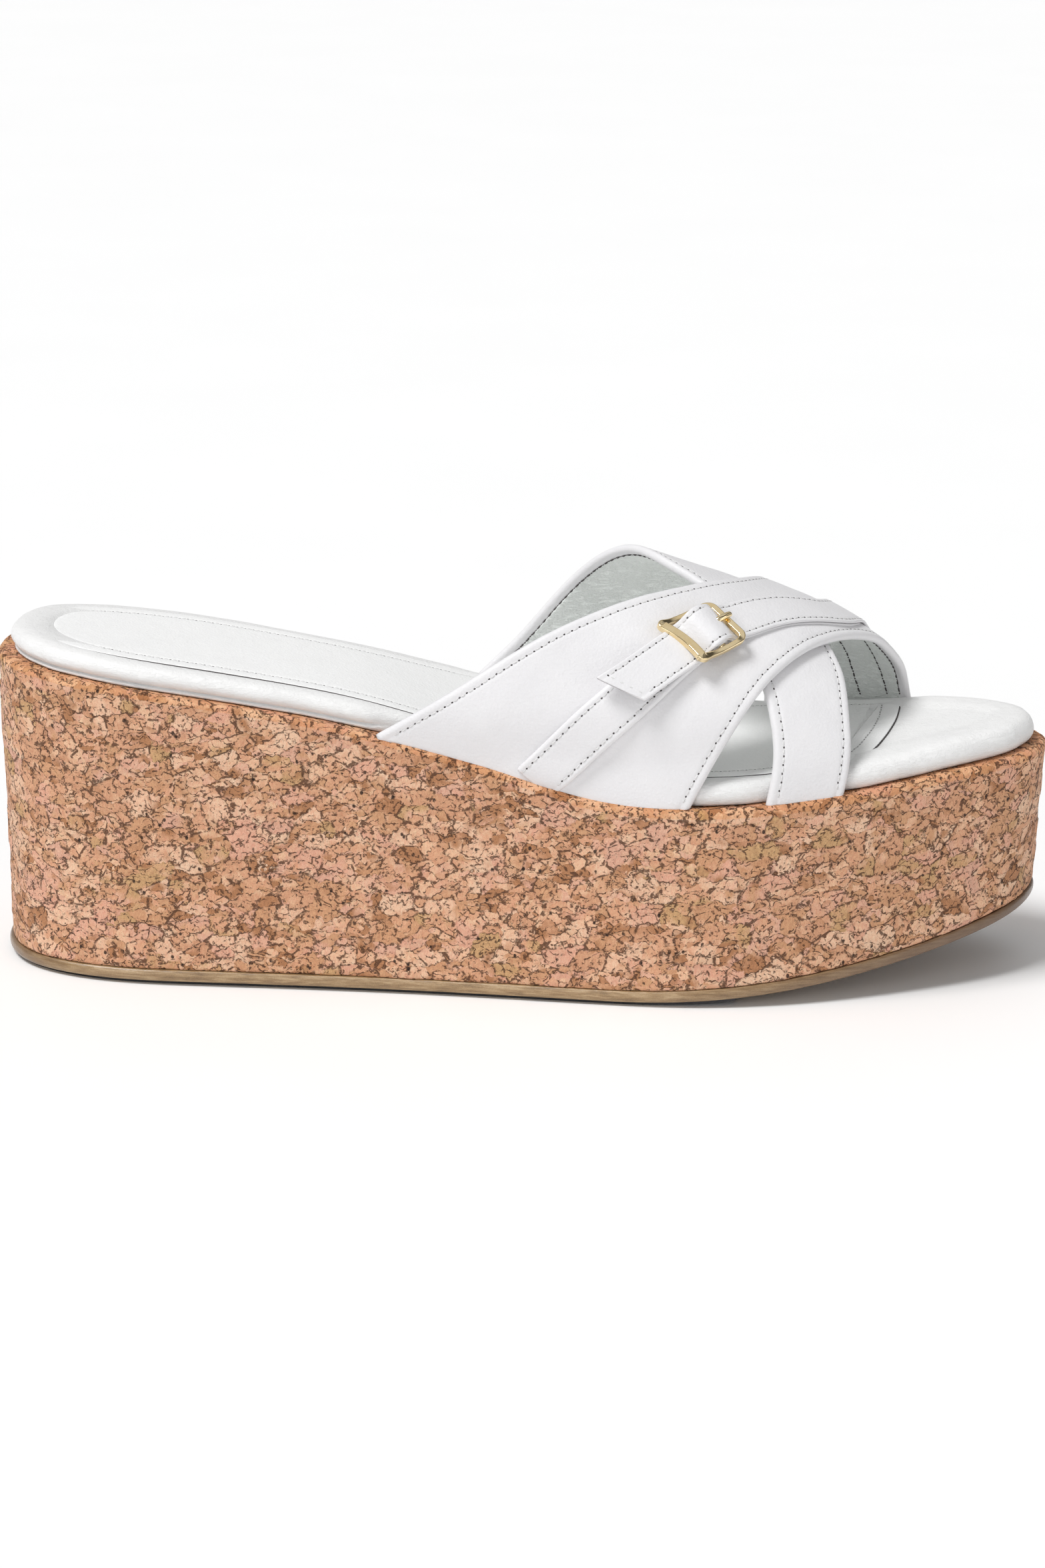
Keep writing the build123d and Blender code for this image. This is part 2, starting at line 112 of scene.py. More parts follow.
top = eased(top_raw, -150, 150, 0.5, 3.0)
outer_y = eased(lambda x: BALL * smooth(OUTER, x / LENGTH), -150, 150, 0.5, 2.5)
inner_y = eased(lambda x: BALL * smooth(INNER, x / LENGTH), -150, 150, 0.5, 2.5)
crest = eased(lambda x: PLAT_H + INSTEP_H * smooth(FOOT_RISE, x / LENGTH), -150, 150, 0.5, 3.0)


def closed_curve(points):
    """Smooth closed curve through points."""
    p = np.array(points, float)
    n = len(p)
    h = np.linalg.norm(np.roll(p, -1, 0) - p, axis=1)
    a = np.zeros((n, n))
    rhs = np.zeros((n, 2))
    for i in range(n):
        before, after = h[i - 1], h[i]
        a[i, i - 1] += before
        a[i, i] += 2 * (before + after)
        a[i, (i + 1) % n] += after
        rhs[i] = 6 * ((p[(i + 1) % n] - p[i]) / after - (p[i] - p[i - 1]) / before)
    m = np.linalg.solve(a, rhs)
    fine = []
    for i in range(n):
        j = (i + 1) % n
        t = np.linspace(0, 1, 60, endpoint=False)[:, None]
        fine.append(p[i] * (1 - t) + p[j] * t
                    - h[i] ** 2 / 6 * ((2 * t - 3 * t ** 2 + t ** 3) * m[i] + (t - t ** 3) * m[j]))
    return np.concatenate(fine)


def along(curve, count):
    """Evenly spaced points on an open curve, without the last."""
    run = np.concatenate([[0], np.cumsum(np.linalg.norm(np.diff(curve, axis=0), axis=1))])
    at = np.linspace(0, run[-1], count, endpoint=False)
    return np.stack([np.interp(at, run, curve[:, k]) for k in range(curve.shape[1])], 1)


class Patch:
    """Area inside a closed outline whose two sides are paired point by point."""

    def __init__(self, curve, split, count):
        self.half = count // 2
        self.count = 2 * self.half
        one = along(curve[:split + 1], self.half)
        two = along(np.vstack([curve[split:], curve[:1]]), self.half)
        self.q = np.vstack([one, two])
        d = np.roll(self.q, -2, 0) - np.roll(self.q, 2, 0)
        self.n = np.stack([d[:, 1], -d[:, 0]], 1)
        self.n /= np.linalg.norm(self.n, axis=1)[:, None]

    def ring(self, out, height):
        """Closed row at a distance out from the outline; height is a number or a function of x and y."""
        q = self.q + self.n * np.broadcast_to(out, (self.count,))[:, None]
        z = height(q[:, 0], q[:, 1]) if callable(height) else np.broadcast_to(height, (self.count,))
        return np.column_stack([q, z])

    def fill(self, out, height, steps):
        """Rows from a ring to the middle line, where the two sides meet."""
        q = self.q + self.n * out
        mirror = np.roll(q[::-1], 1, 0)
        middle = (q + mirror) / 2
        rows = []
        for s in np.linspace(0, 1, steps + 1)[1:]:
            w = q * (1 - s) + middle * s
            rows.append(np.column_stack([w, height(w[:, 0], w[:, 1])]))
        return rows


stations = [HEEL_POINT] + OUTER + [TOE_POINT] + INNER[::-1]
shoe = Patch(closed_curve([(a * LENGTH, b * BALL) for a, b in stations]), 60 * (len(OUTER) + 1), 1100)
plan, plan_n, AROUND = shoe.q, shoe.n, shoe.count
flare = np.where(plan[:, 0] < 0, HEEL_FLARE, TOE_FLARE) * plan_n[:, 0] ** 2 + SIDE_FLARE * plan_n[:, 1] ** 2


def rocker(x):
    t = np.maximum(x - SPRING_X, 0) / (LENGTH / 2 - SPRING_X)
    return SPRING * t * t


# ---------------------------------------------------------------- meshes
def make(name, points, faces, body="sandal"):
    mesh = bpy.data.meshes.new(name)
    mesh.from_pydata((np.asarray(points) * MM).tolist(), [], faces)
    mesh.update()
    mesh.polygons.foreach_set("use_smooth", [True] * len(mesh.polygons))
    piece = bpy.data.objects.new(name, mesh)
    bpy.context.scene.collection.objects.link(piece)
    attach(piece, body)
    return piece


def capped(rows, count):
    """Quads between rows of count points, with the first and the last row filled."""
    last = (rows - 1) * count
    return tube_faces(rows, count) + [tuple(range(count))[::-1], tuple(range(last, last + count))]


def tube_faces(rows, count, closed_rows=False):
    """Quads between rows of count points, each row a closed loop."""
    faces = []
    last = rows if closed_rows else rows - 1
    for r in range(last):
        a, b = r * count, ((r + 1) % rows) * count
        for i in range(count):
            j = (i + 1) % count
            faces.append((a + i, a + j, b + j, b + i))
    return faces


def weld(piece):
    """Join the points that meet, and turn every face outward."""
    bm = bmesh.new()
    bm.from_mesh(piece.data)
    bmesh.ops.remove_doubles(bm, verts=bm.verts, dist=WELD * MM)
    bmesh.ops.recalc_face_normals(bm, faces=bm.faces)
    bm.to_mesh(piece.data)
    bm.free()
    piece.data.polygons.foreach_set("use_smooth", [True] * len(piece.data.polygons))


# ---------------------------------------------------------------- foot surface for the straps
NEAREST, FARTHEST, HALVINGS = 5.0, 160.0, 34
FIRST_ANGLE, LAST_ANGLE = -8, 188


def foot_radius(x, angle):
    """Distance from the axis to the foot at an angle, 0 being the outer side and 90 straight up."""
    outer, inner = outer_y(x) + WALL_INSET, inner_y(x) - WALL_INSET
    half, middle = (inner - outer) / 2, (inner + outer) / 2
    base = top(x)
    height = crest(x) - base
    c, s = np.cos(np.radians(angle)), np.sin(np.radians(angle))
    near = np.full(np.shape(x + angle), NEAREST)
    away = near + (FARTHEST - NEAREST)
    for _ in range(HALVINGS):
        r = (near + away) / 2
        level = np.maximum((AXIS_H + r * s - base) / height, 0)
        side = np.abs((-r * c - middle - LEAN * level * level) / half)
        inside = side ** ROUND + level ** ROUND < 1
        near = np.where(inside, r, near)
        away = np.where(inside, away, r)
    return near


def on_foot(x, angle, out=0.0):
    r = foot_radius(x, angle) + out
    return np.stack([x + 0 * r, -r * np.cos(np.radians(angle)), AXIS_H + r * np.sin(np.radians(angle))], -1)


def skin_normal(x, angle):
    """Outward direction of the foot's skin."""
    along = on_foot(x + 0.5, angle) - on_foot(x - 0.5, angle)
    turn = on_foot(x, angle + 0.7) - on_foot(x, angle - 0.7)
    n = np.cross(along, turn)
    return n / np.linalg.norm(n, axis=-1, keepdims=True)


WIDE_REAR = [(-8, -0.25), (22, -0.14), (39, -0.052), (52, 0.022), (67, 0.112), (83, 0.172),
             (100, 0.205), (125, 0.228), (150, 0.236), (188, 0.238)]
WIDE_FRONT = [(-8, 0.152), (10, 0.176), (30, 0.207), (42, 0.229), (53.5, 0.253), (72, 0.288),
              (90, 0.313), (112, 0.337), (132, 0.358), (150, 0.372), (172, 0.384), (188, 0.388)]
CROSS_REAR = [(-8, 0.226), (15, 0.236), (35, 0.229), (60, 0.208), (72, 0.194), (84, 0.175),
              (95, 0.142), (101, 0.122), (110, 0.104), (119, 0.076), (129, 0.040), (141, -0.001),
              (157, -0.052), (188, -0.10)]
CROSS_FRONT = [(-8, 0.298), (17, 0.308), (36, 0.306), (58, 0.300), (80, 0.282), (95, 0.258),
               (112, 0.225), (130, 0.194), (150, 0.172), (188, 0.160)]
LIFT = 2.45


def lift_raw(angle):
    return LIFT * smooth([(8, 0.0), (14, 0.0), (30, 1.0), (40, 1.0), (98, 1.0), (106, 1.0), (116, 0.86),
                          (128, 0.42), (140, 0.08), (148, 0.0), (160, 0.0)], np.clip(angle, 8, 160))


lift = eased(lift_raw, -20, 200, 0.5, 3.0)


def edge_line(stations_):
    return eased(lambda a: LENGTH * smooth(stations_, a), -12, 192, 0.5, 3.5)


def none(angle):
    return 0 * angle


class Band:
    """A sheet over the foot between two edges; distances across it are square to the edges."""

    def __init__(self, rear, front, raised):
        self.rear, self.front, self.raised = edge_line(rear), edge_line(front), raised
        self.angle = np.linspace(FIRST_ANGLE, LAST_ANGLE, 560)
        self.scale = []
        for edge in (self.rear, self.front):
            x = edge(self.angle)
            line = on_foot(x, self.angle, raised(self.angle))
            run = np.gradient(line, axis=0)
            run /= np.linalg.norm(run, axis=1)[:, None]
            side = on_foot(x + 0.5, self.angle, 0) - on_foot(x - 0.5, self.angle, 0)
            size = np.linalg.norm(side, axis=1)
            cosine = (run * side).sum(1) / size
            self.scale.append(np.convolve(np.pad(1 / (size * np.sqrt(1 - cosine ** 2)), 12, "edge"),
                                          np.ones(25) / 25, mode="valid"))

    def x_at(self, angle, side, distance):
        """x of a line at a distance in from one edge."""
        grow = np.interp(angle, self.angle, self.scale[side])
        edge = (self.rear, self.front)[side](angle)
        return edge + distance * grow * (1 if side == 0 else -1)

    def surface(self, x, angle, height):
        n = skin_normal(x, angle)
        return on_foot(x, angle) + n * (np.asarray(height) + self.raised(angle))[..., None], n

    def grid(self, edge_gap, near_edge, middle, rows, foot):
        """Rows of skin points from one foot of the band to the other."""
        d = edge_gap + np.array(near_edge)
        a = self.angle[:, None]
        left = self.x_at(a, 0, d[None, :])
        right = self.x_at(a, 1, d[None, ::-1])
        f = np.linspace(0, 1, middle + 2)[1:-1][None, :]
        centre = left[:, -1:] * (1 - f) + right[:, :1] * f
        x = np.concatenate([left, centre, right], 1)
        angle = np.broadcast_to(a, x.shape)
        n = skin_normal(x, angle)
        p = on_foot(x, angle) + n * self.raised(angle)[..., None]
        out_p = np.zeros((rows, x.shape[1], 3))
        out_n = np.zeros_like(out_p)
        out_a = np.zeros((rows, x.shape[1]))
        for j in range(x.shape[1]):
            gap = p[:, j, 2] - top(p[:, j, 0]) - foot
            up = np.argmax(gap > 0)
            down = len(gap) - 1 - np.argmax(gap[::-1] > 0)
            a0 = np.interp(0, gap[up - 1:up + 1], self.angle[up - 1:up + 1])
            a1 = np.interp(0, gap[[down + 1, down]], self.angle[[down + 1, down]])
            at = a0 + (a1 - a0) * np.linspace(0, 1, rows)
            out_a[:, j] = at
            for k in range(3):
                out_p[:, j, k] = np.interp(at, self.angle, p[:, j, k])
                out_n[:, j, k] = np.interp(at, self.angle, n[:, j, k])
        out_n /= np.linalg.norm(out_n, axis=-1, keepdims=True)
        return out_p, out_n, out_a


NEAR_EDGE = [0.0, 0.35, 0.75, 1.1, 1.4, 1.7, 2.0, 2.4, 3.0, 4.0]


def slab(name, p, n, low, high, bulge):
    """Closed sheet with rounded edges on a grid of skin points; bulge adds to the top per column."""
    rows, cols = p.shape[:2]
    mid = (low + high) / 2
    r = (high - low) / 2
    run = np.gradient(p, axis=0)
    run /= np.linalg.norm(run, axis=-1, keepdims=True)
    loop = []
    upper = p + n * (high + bulge)[..., None]
    lower = p + n * low
    for j in range(cols):
        loop.append(upper[:, j])
    out = np.cross(run[:, -1], n[:, -1])
    out *= np.sign((out * (p[:, -1] - p[:, -2])).sum(1))[:, None]
    for a in np.radians([65, 35, 0, -35, -65]):
        loop.append(p[:, -1] + n[:, -1] * (mid + r * math.sin(a)) + out * r * math.cos(a))
    for j in range(cols - 1, -1, -1):
        loop.append(lower[:, j])
    out = np.cross(run[:, 0], n[:, 0])
    out *= np.sign((out * (p[:, 0] - p[:, 1])).sum(1))[:, None]
    for a in np.radians([-65, -35, 0, 35, 65]):
        loop.append(p[:, 0] + n[:, 0] * (mid + r * math.sin(a)) + out * r * math.cos(a))
    piece = make(name, np.stack(loop, 1).reshape(-1, 3), capped(rows, len(loop)))
    weld(piece)
    return piece


STITCH_IN, FAR_FROM_EDGE = 2.3, 99.0


def groove(distance, stitch_in, depth, width):
    """Dip along a line of stitches, for distances in from the edge."""
    return -depth * np.exp(-((distance - stitch_in) / width) ** 2)


def column_distances(edge_gap, middle):
    """How far each column of a band's grid is in from its nearer edge."""
    d = edge_gap + np.array(NEAR_EDGE)
    return np.concatenate([d, np.full(middle, FAR_FROM_EDGE), d[::-1]])


def band_ripple(p):
    """Soft unevenness of the leather over the foot."""
    return 0.16 * swell(p, 26, 11) + 0.04 * swell(p, 8, 12)


BAND_LOW, BAND_TOP, BAND_GAP, BAND_FOOT, BAND_MIDDLE = 0.15, 2.3, 1.07, -0.5, 26
LINING_LOW, LINING_TOP, LINING_GAP = -0.12, 0.4, 2.6
GROOVE_DEPTH, GROOVE_WIDTH = 0.16, 0.45


def band_pieces(name, band):
    p, n, a = band.grid(BAND_GAP, NEAR_EDGE, BAND_MIDDLE, 230, BAND_FOOT)
    dip = groove(column_distances(BAND_GAP, BAND_MIDDLE), STITCH_IN, GROOVE_DEPTH, GROOVE_WIDTH)
    p = p + n * band_ripple(p)[..., None]
    outer = slab(name + "_leather", p, n, BAND_LOW, BAND_TOP, np.broadcast_to(dip, a.shape))
    p, n, a = band.grid(LINING_GAP, NEAR_EDGE[:4], BAND_MIDDLE, 200, BAND_FOOT)
    lining = slab(name + "_lining_skin", p, n, LINING_LOW, LINING_TOP, np.zeros(a.shape))
    return outer, lining


# ---------------------------------------------------------------- stitches
def turns(count):
    """Evenly spaced angles around a full turn."""
    return np.linspace(0, 2 * math.pi, count, endpoint=False)


def resample(line, pitch):
    """Places of stitches along a line, the line's running length and the exact pitch."""
    run = np.concatenate([[0], np.cumsum(np.linalg.norm(np.diff(line, axis=0), axis=1))])
    count = max(int(run[-1] / pitch), 1)
    at = (np.arange(count) + 0.5) * run[-1] / count
    return at, run, run[-1] / count


PITCH, STITCH_LONG, THREAD_R, THREAD_UP = 2.05, 1.5, 0.21, 0.07
THREAD_SIDES, HOLE_SIDES, HOLE_R = 6, 7, 0.31
# (place along the thread, width) of a stitch, and (height, width) of the two rings of the dark disc painted
# as the shade in each needle hole
THREAD_RINGS = [(-1.0, 0.15), (-0.8, 0.75), (-0.35, 1.0), (0.35, 1.0), (0.8, 0.75), (1.0, 0.15)]
HOLE_RINGS = [(0.05, 0.75), (0.075, 0.35)]


def on_line(line, run, at):
    return np.array([np.interp(at, run, line[:, k]) for k in range(3)])


def thread_piece(name, lines):
    """Stitches as short threads pressed into the leather, with a dark disc between them painted as the shade
    in the needle hole.
    """
    threads, holes = [], []
    t_faces, h_faces = [], []
    t_caps = capped(len(THREAD_RINGS), THREAD_SIDES)
    h_caps = capped(len(HOLE_RINGS), HOLE_SIDES)
    rng = np.random.default_rng(7)
    for line, normal in lines:
        at, run, step = resample(line, PITCH)
        for c in at:
            wobble = rng.uniform(-0.05, 0.05)
            lean = rng.uniform(-0.10, 0.10)
            centre = on_line(line, run, c)
            up = on_line(normal, run, c)
            along = on_line(line, run, c + 0.4) - centre
            along /= np.linalg.norm(along)
            up -= along * (up @ along)
            up /= np.linalg.norm(up)
            side = np.cross(up, along)
            along = along + side * lean
            half = STITCH_LONG / 2 * (1 + wobble)
            t_faces += [tuple(len(threads) + k for k in face) for face in t_caps]
            for s, w in THREAD_RINGS:
                for t in turns(THREAD_SIDES):
                    height = THREAD_R * 0.8 * w * math.sin(t) - 0.22 * s * s + THREAD_UP
                    threads.append(centre + along * half * s + side * THREAD_R * w * math.cos(t)
                                   + up * height)
            # Dark disc after each stitch: painted shade in the needle hole.
            h_faces += [tuple(len(holes) + k for k in face) for face in h_caps]
            for height, w in HOLE_RINGS:
                for t in turns(HOLE_SIDES):
                    spoke = along * math.cos(t) * 1.25 + side * math.sin(t) * 0.9
                    holes.append(centre + along * (step / 2) + spoke * HOLE_R * w + up * height)
    return (make(name + "_threads", threads, t_faces),
            make(name + "_hole_shade_discs", holes, h_faces))


# ---------------------------------------------------------------- materials
class Paint:
    """Small helper for a node material."""

    def __init__(self, name):
        self.mat = bpy.data.materials.new(name)
        self.mat.use_nodes = True
        self.tree = self.mat.node_tree
        self.bsdf = self.tree.nodes["Principled BSDF"]
        coord = self.node("ShaderNodeTexCoord")
        self.coord = self.node("ShaderNodeMapping")
        self.coord.inputs["Scale"].default_value = (1000, 1000, 1000)
        self.link(coord.outputs["Object"], self.coord.inputs["Vector"])

    def node(self, kind, **values):
        n = self.tree.nodes.new(kind)
        for key, value in values.items():
            setattr(n, key, value)
        return n

    def link(self, a, b):
        self.tree.links.new(a, b)

    def turned(self, scale, turn=(0, 0, 0)):
        """Coordinates in millimetres, turned and stretched."""
        m = self.node("ShaderNodeMapping")
        m.inputs["Rotation"].default_value = turn
        m.inputs["Scale"].default_value = scale
        self.link(self.coord.outputs["Vector"], m.inputs["Vector"])
        return m.outputs["Vector"]

    def noise(self, scale, detail=4, where=None, rough=0.55):
        n = self.node("ShaderNodeTexNoise")
        n.inputs["Scale"].default_value = scale
        n.inputs["Detail"].default_value = detail
        n.inputs["Roughness"].default_value = rough
        self.link(where or self.coord.outputs["Vector"], n.inputs["Vector"])
        return n.outputs["Fac"]

    def cells(self, scale, feature="F1", where=None, spread=1.0):
        n = self.node("ShaderNodeTexVoronoi", feature=feature)
        n.inputs["Scale"].default_value = scale
        n.inputs["Randomness"].default_value = spread
        self.link(where or self.coord.outputs["Vector"], n.inputs["Vector"])
        return n

    def ramp(self, value, stops, ease="LINEAR"):
        """Colours along a value, as (place, colour) or (place, grey)."""
        n = self.node("ShaderNodeValToRGB")
        n.color_ramp.interpolation = ease
        while len(n.color_ramp.elements) < len(stops):
            n.color_ramp.elements.new(0.5)
        for element, (place, colour) in zip(n.color_ramp.elements, stops):
            element.position = place
            element.color = (*colour, 1) if isinstance(colour, tuple) else (colour, colour, colour, 1)
        self.link(value, n.inputs["Fac"])
        return n.outputs["Color"]

    def mix(self, factor, a, b, blend="MIX"):
        n = self.node("ShaderNodeMix", data_type="RGBA", blend_type=blend)
        for socket, value in ((n.inputs["Factor"], factor), (n.inputs[6], a), (n.inputs[7], b)):
            if isinstance(value, bpy.types.NodeSocket):
                self.link(value, socket)
            elif isinstance(value, tuple):
                socket.default_value = (*value, 1)
            else:
                socket.default_value = value
        return n.outputs[2]

    def pushed(self, where, by, amount):
        """Coordinates moved by a value times an amount."""
        n = self.node("ShaderNodeVectorMath", operation="MULTIPLY_ADD")
        self.link(by, n.inputs[0])
        n.inputs[1].default_value = (amount, amount, amount)
        self.link(where, n.inputs[2])
        return n.outputs[0]

    def parts(self, colour):
        """The three channels of a colour."""
        n = self.node("ShaderNodeSeparateColor")
        self.link(colour, n.inputs[0])
        return n.outputs

    def sums(self, *terms):
        """Weighted sum of values."""
        total = None
        for value, weight in terms:
            n = self.node("ShaderNodeMath", operation="MULTIPLY_ADD")
            n.inputs[1].default_value = weight
            n.inputs[2].default_value = 0
            self.link(value, n.inputs[0])
            if total is not None:
                self.link(total, n.inputs[2])
            total = n.outputs[0]
        return total

    def bump(self, height, distance, strength=1.0):
        n = self.node("ShaderNodeBump")
        n.inputs["Strength"].default_value = strength
        n.inputs["Distance"].default_value = distance * MM
        self.link(height, n.inputs["Height"])
        self.link(n.outputs["Normal"], self.bsdf.inputs["Normal"])

    def set(self, **values):
        names = {"rough": "Roughness", "metal": "Metallic", "specular": "Specular IOR Level",
                 "coat": "Coat Weight", "coat_rough": "Coat Roughness", "sheen": "Sheen Weight"}
        for key, value in values.items():
            self.bsdf.inputs[names[key]].default_value = value
        return self

    def colour(self, value):
        socket = self.bsdf.inputs["Base Color"]
        if isinstance(value, bpy.types.NodeSocket):
            self.link(value, socket)
        else:
            socket.default_value = (*value, 1)

    def roughness(self, value):
        self.link(value, self.bsdf.inputs["Roughness"])


def white_leather(name, light, dark, grain=0.05, wrinkle=0.0, rough=(0.36, 0.5)):
    m = Paint(name)
    pores = m.cells(1.5).outputs["Distance"]
    soft = m.noise(0.09, 3)
    fine = m.noise(3.2, 3)
    m.colour(m.ramp(m.sums((soft, 0.7), (fine, 0.3)), [(0.3, dark), (0.7, light)]))
    m.roughness(m.sums((m.ramp(m.noise(0.5, 4), [(0.3, rough[0]), (0.7, rough[1])]), 1.0)))
    terms = [(pores, grain), (fine, grain * 0.7), (m.noise(0.35, 4), 0.10)]
    if wrinkle:
        creases = m.noise(0.8, 5, m.turned((0.35, 0.35, 1.3), (0.3, 0.5, 0)), 0.65)
        terms.append((m.ramp(creases, [(0.42, 0), (0.5, 1), (0.58, 0)]), -wrinkle))
    m.bump(m.sums(*terms), 1.0)
    return m.set(specular=0.42).mat


def cork(name, warmth):
    """Pressed cork: large and small flakes in two colour sets, with fibres, cracks and dark pits."""
    m = Paint(name)
    slanted = m.turned((0.15, 0.20, 0.26), (0.0, 0.55, 0.0))
    warp = m.noise(0.5, 3, m.turned((0.4, 0.4, 0.4)))
    where = m.pushed(m.pushed(slanted, warp, 1.2), m.noise(1.3, 4), 0.28)
    flakes = m.cells(1.0, where=where)
    small = m.cells(2.1, where=where)
    flake_id, small_id = m.parts(flakes.outputs["Color"]), m.parts(small.outputs["Color"])
    base = m.ramp(flake_id[0], [
        (0.0, (0.46, 0.22, 0.11)), (0.12, (0.66, 0.36, 0.22)), (0.30, (0.83, 0.54, 0.38)),
        (0.46, (0.64, 0.35, 0.20)), (0.58, (0.76, 0.43, 0.31)), (0.72, (0.60, 0.37, 0.19)),
        (0.82, (0.83, 0.56, 0.40)), (0.93, (0.72, 0.42, 0.31))], "CONSTANT")
    second = m.ramp(small_id[1], [
        (0.0, (0.46, 0.22, 0.11)), (0.14, (0.72, 0.40, 0.25)), (0.5, (0.81, 0.51, 0.34)),
        (0.75, (0.63, 0.35, 0.20)), (0.9, (0.77, 0.46, 0.33))], "CONSTANT")
    patch = m.ramp(m.noise(0.16, 2), [(0.42, 0), (0.58, 1)])
    colour = m.mix(patch, base, second)
    fibre = m.noise(2.4, 6, m.turned((1.0, 1.0, 0.45), (0.2, 0.5, 0.3)), 0.7)
    colour = m.mix(0.8, colour, m.ramp(fibre, [(0.3, 0.34), (0.52, 0.5),
                                                (0.72, 0.64)]), "OVERLAY")
    edge = m.cells(1.0, "DISTANCE_TO_EDGE", where)
    edge2 = m.cells(2.1, "DISTANCE_TO_EDGE", where)
    broken = m.noise(0.7, 3)
    crack = m.ramp(edge.outputs["Distance"], [(0.0, 1), (0.020, 1), (0.050, 0)])
    crack2 = m.ramp(edge2.outputs["Distance"], [(0.0, 1), (0.020, 1), (0.060, 0)])
    gate = m.ramp(broken, [(0.47, 0.0), (0.56, 1)])
    gate2 = m.ramp(m.noise(0.9, 3, m.turned((1, 1, 1), (1, 2, 3))), [(0.48, 0), (0.58, 1)])
    lines = m.mix(1.0, m.mix(1.0, crack, gate, "MULTIPLY"), m.mix(1.0, crack2, gate2, "MULTIPLY"), "LIGHTEN")
    colour = m.mix(m.sums((lines, 0.9)), colour, (0.12, 0.052, 0.026))
    specks = m.cells(0.5, where=m.turned((1, 1, 0.75), (0.4, 0.1, 0.9)))
    spots = m.ramp(specks.outputs["Distance"], [(0.15, 1), (0.21, 0)])
    some = m.ramp(m.noise(0.45, 3, m.turned((1, 1, 1), (2, 0, 1))), [(0.5, 0), (0.6, 1)])
    pits = m.mix(1.0, spots, some, "MULTIPLY")
    colour = m.mix(m.sums((pits, 0.93)), colour, (0.03, 0.016, 0.012))
    m.colour(m.mix(1.0, colour, warmth, "MULTIPLY"))
    m.bump(m.sums((lines, -0.6), (pits, -0.7), (fibre, 0.35), (flake_id[1], 0.35),
                  (small_id[2], 0.15), (m.noise(1.1, 4), 0.35)), 1.0)
    return m.set(rough=0.62, specular=0.3).mat


def tan_sole():
    m = Paint("golden_tan_sole")
    streak = m.noise(0.7, 5, m.turned((0.25, 0.25, 2.2)), 0.6)
    fine = m.noise(4.0, 4)
    body = m.ramp(m.sums((streak, 0.75), (fine, 0.25)),
                  [(0.32, (0.17, 0.10, 0.045)), (0.5, (0.34, 0.22, 0.105)), (0.68, (0.52, 0.37, 0.21))])
    split = m.node("ShaderNodeSeparateXYZ")
    m.link(m.coord.outputs["Vector"], split.inputs[0])
    place = m.node("ShaderNodeMapRange")
    place.inputs["From Min"].default_value = -LENGTH / 2
    place.inputs["From Max"].default_value = LENGTH / 2
    m.link(split.outputs[0], place.inputs["Value"])
    # Painted shade: the sole is darkened a little at the heel end and more over the toe, where it lifts off
    # the floor and its underside is in shade.
    ends = m.ramp(place.outputs[0], [(0.0, 0.75), (0.07, 0.1), (0.6, 0),
                                     (0.86, 0.7), (1.0, 0.9)])
    m.colour(m.mix(ends, body, (0.12, 0.062, 0.032)))
    m.bump(m.sums((streak, 0.18), (fine, 0.05)), 1.0)
    return m.set(rough=0.3, specular=0.55, coat=0.25, coat_rough=0.2).mat


def rubber():
    m = Paint("black_rubber")
    grain = m.noise(3.0, 4)
    m.colour(m.ramp(grain, [(0.3, (0.012, 0.012, 0.015)), (0.7, (0.03, 0.03, 0.036))]))
    m.bump(grain, 0.12)
    return m.set(rough=0.35, specular=0.5).mat


def gold():
    m = Paint("pale_gold")
    soft = m.noise(0.35, 3)
    m.colour(m.ramp(soft, [(0.3, (0.86, 0.67, 0.37)), (0.7, (0.92, 0.76, 0.48))]))
    m.bump(m.noise(6.0, 2), 0.002)
    m.roughness(m.ramp(m.noise(1.3, 4), [(0.3, 0.04), (0.7, 0.09)]))
    return m.set(metal=1.0).mat


def thread():
    m = Paint("waxed_thread")
    twist = m.noise(5.0, 3)
    # Painted shade: the thread is white, and its grey, 0.60 to 0.80, stands for its own shading.
    m.colour(m.ramp(twist, [(0.35, 0.60), (0.65, (0.80, 0.80, 0.79))]))
    m.bump(twist, 0.08)
    return m.set(rough=0.55, specular=0.3).mat


# Near-black painted shade: the shade in needle holes, in the seams inside the bands and at the sock's edge.
def hole_shade_paint():
    m = Paint("painted_hole_shade")
    m.colour(m.ramp(m.noise(4.0, 2), [(0.3, (0.05, 0.045, 0.045)), (0.7, (0.14, 0.13, 0.13))]))
    return m.set(rough=0.9, specular=0.05).mat


def hidden(name, light, dark):
    m = Paint(name)
    grain = m.noise(1.2, 5)
    m.colour(m.ramp(grain, [(0.35, dark), (0.65, light)]))
    m.bump(grain, 0.2)
    return m.set(rough=0.8, specular=0.2).mat


CORK, CORK_EDGE = cork("cork_flakes", (1.06, 1.03, 0.98)), cork("cork_rolled_edge", (1.06, 0.93, 0.76))
SOLE, RUBBER, GOLD, THREAD, HOLE_SHADE = tan_sole(), rubber(), gold(), thread(), hole_shade_paint()
LEATHER = white_leather("white_leather_skin", (0.80, 0.792, 0.803), (0.76, 0.752, 0.766))
RIM = white_leather("white_leather_footbed", (0.86, 0.858, 0.852), (0.82, 0.817, 0.813), 0.05, 0.05)
LINING = white_leather("grained_lining", (0.90, 0.93, 0.905), (0.80, 0.83, 0.805), 0.16, 0.10, (0.45, 0.6))
SOCK = white_leather("sock_leather", (0.945, 0.945, 0.94), (0.92, 0.92, 0.915), 0.06, 0.02)
FOAM = hidden("grey_foam", (0.55, 0.55, 0.52), (0.42, 0.42, 0.40))
BOARD = hidden("pressed_board", (0.42, 0.33, 0.24), (0.30, 0.22, 0.15))


def finish_of(piece, *materials):
    piece.data.materials.clear()
    for m in materials:
        piece.data.materials.append(m)


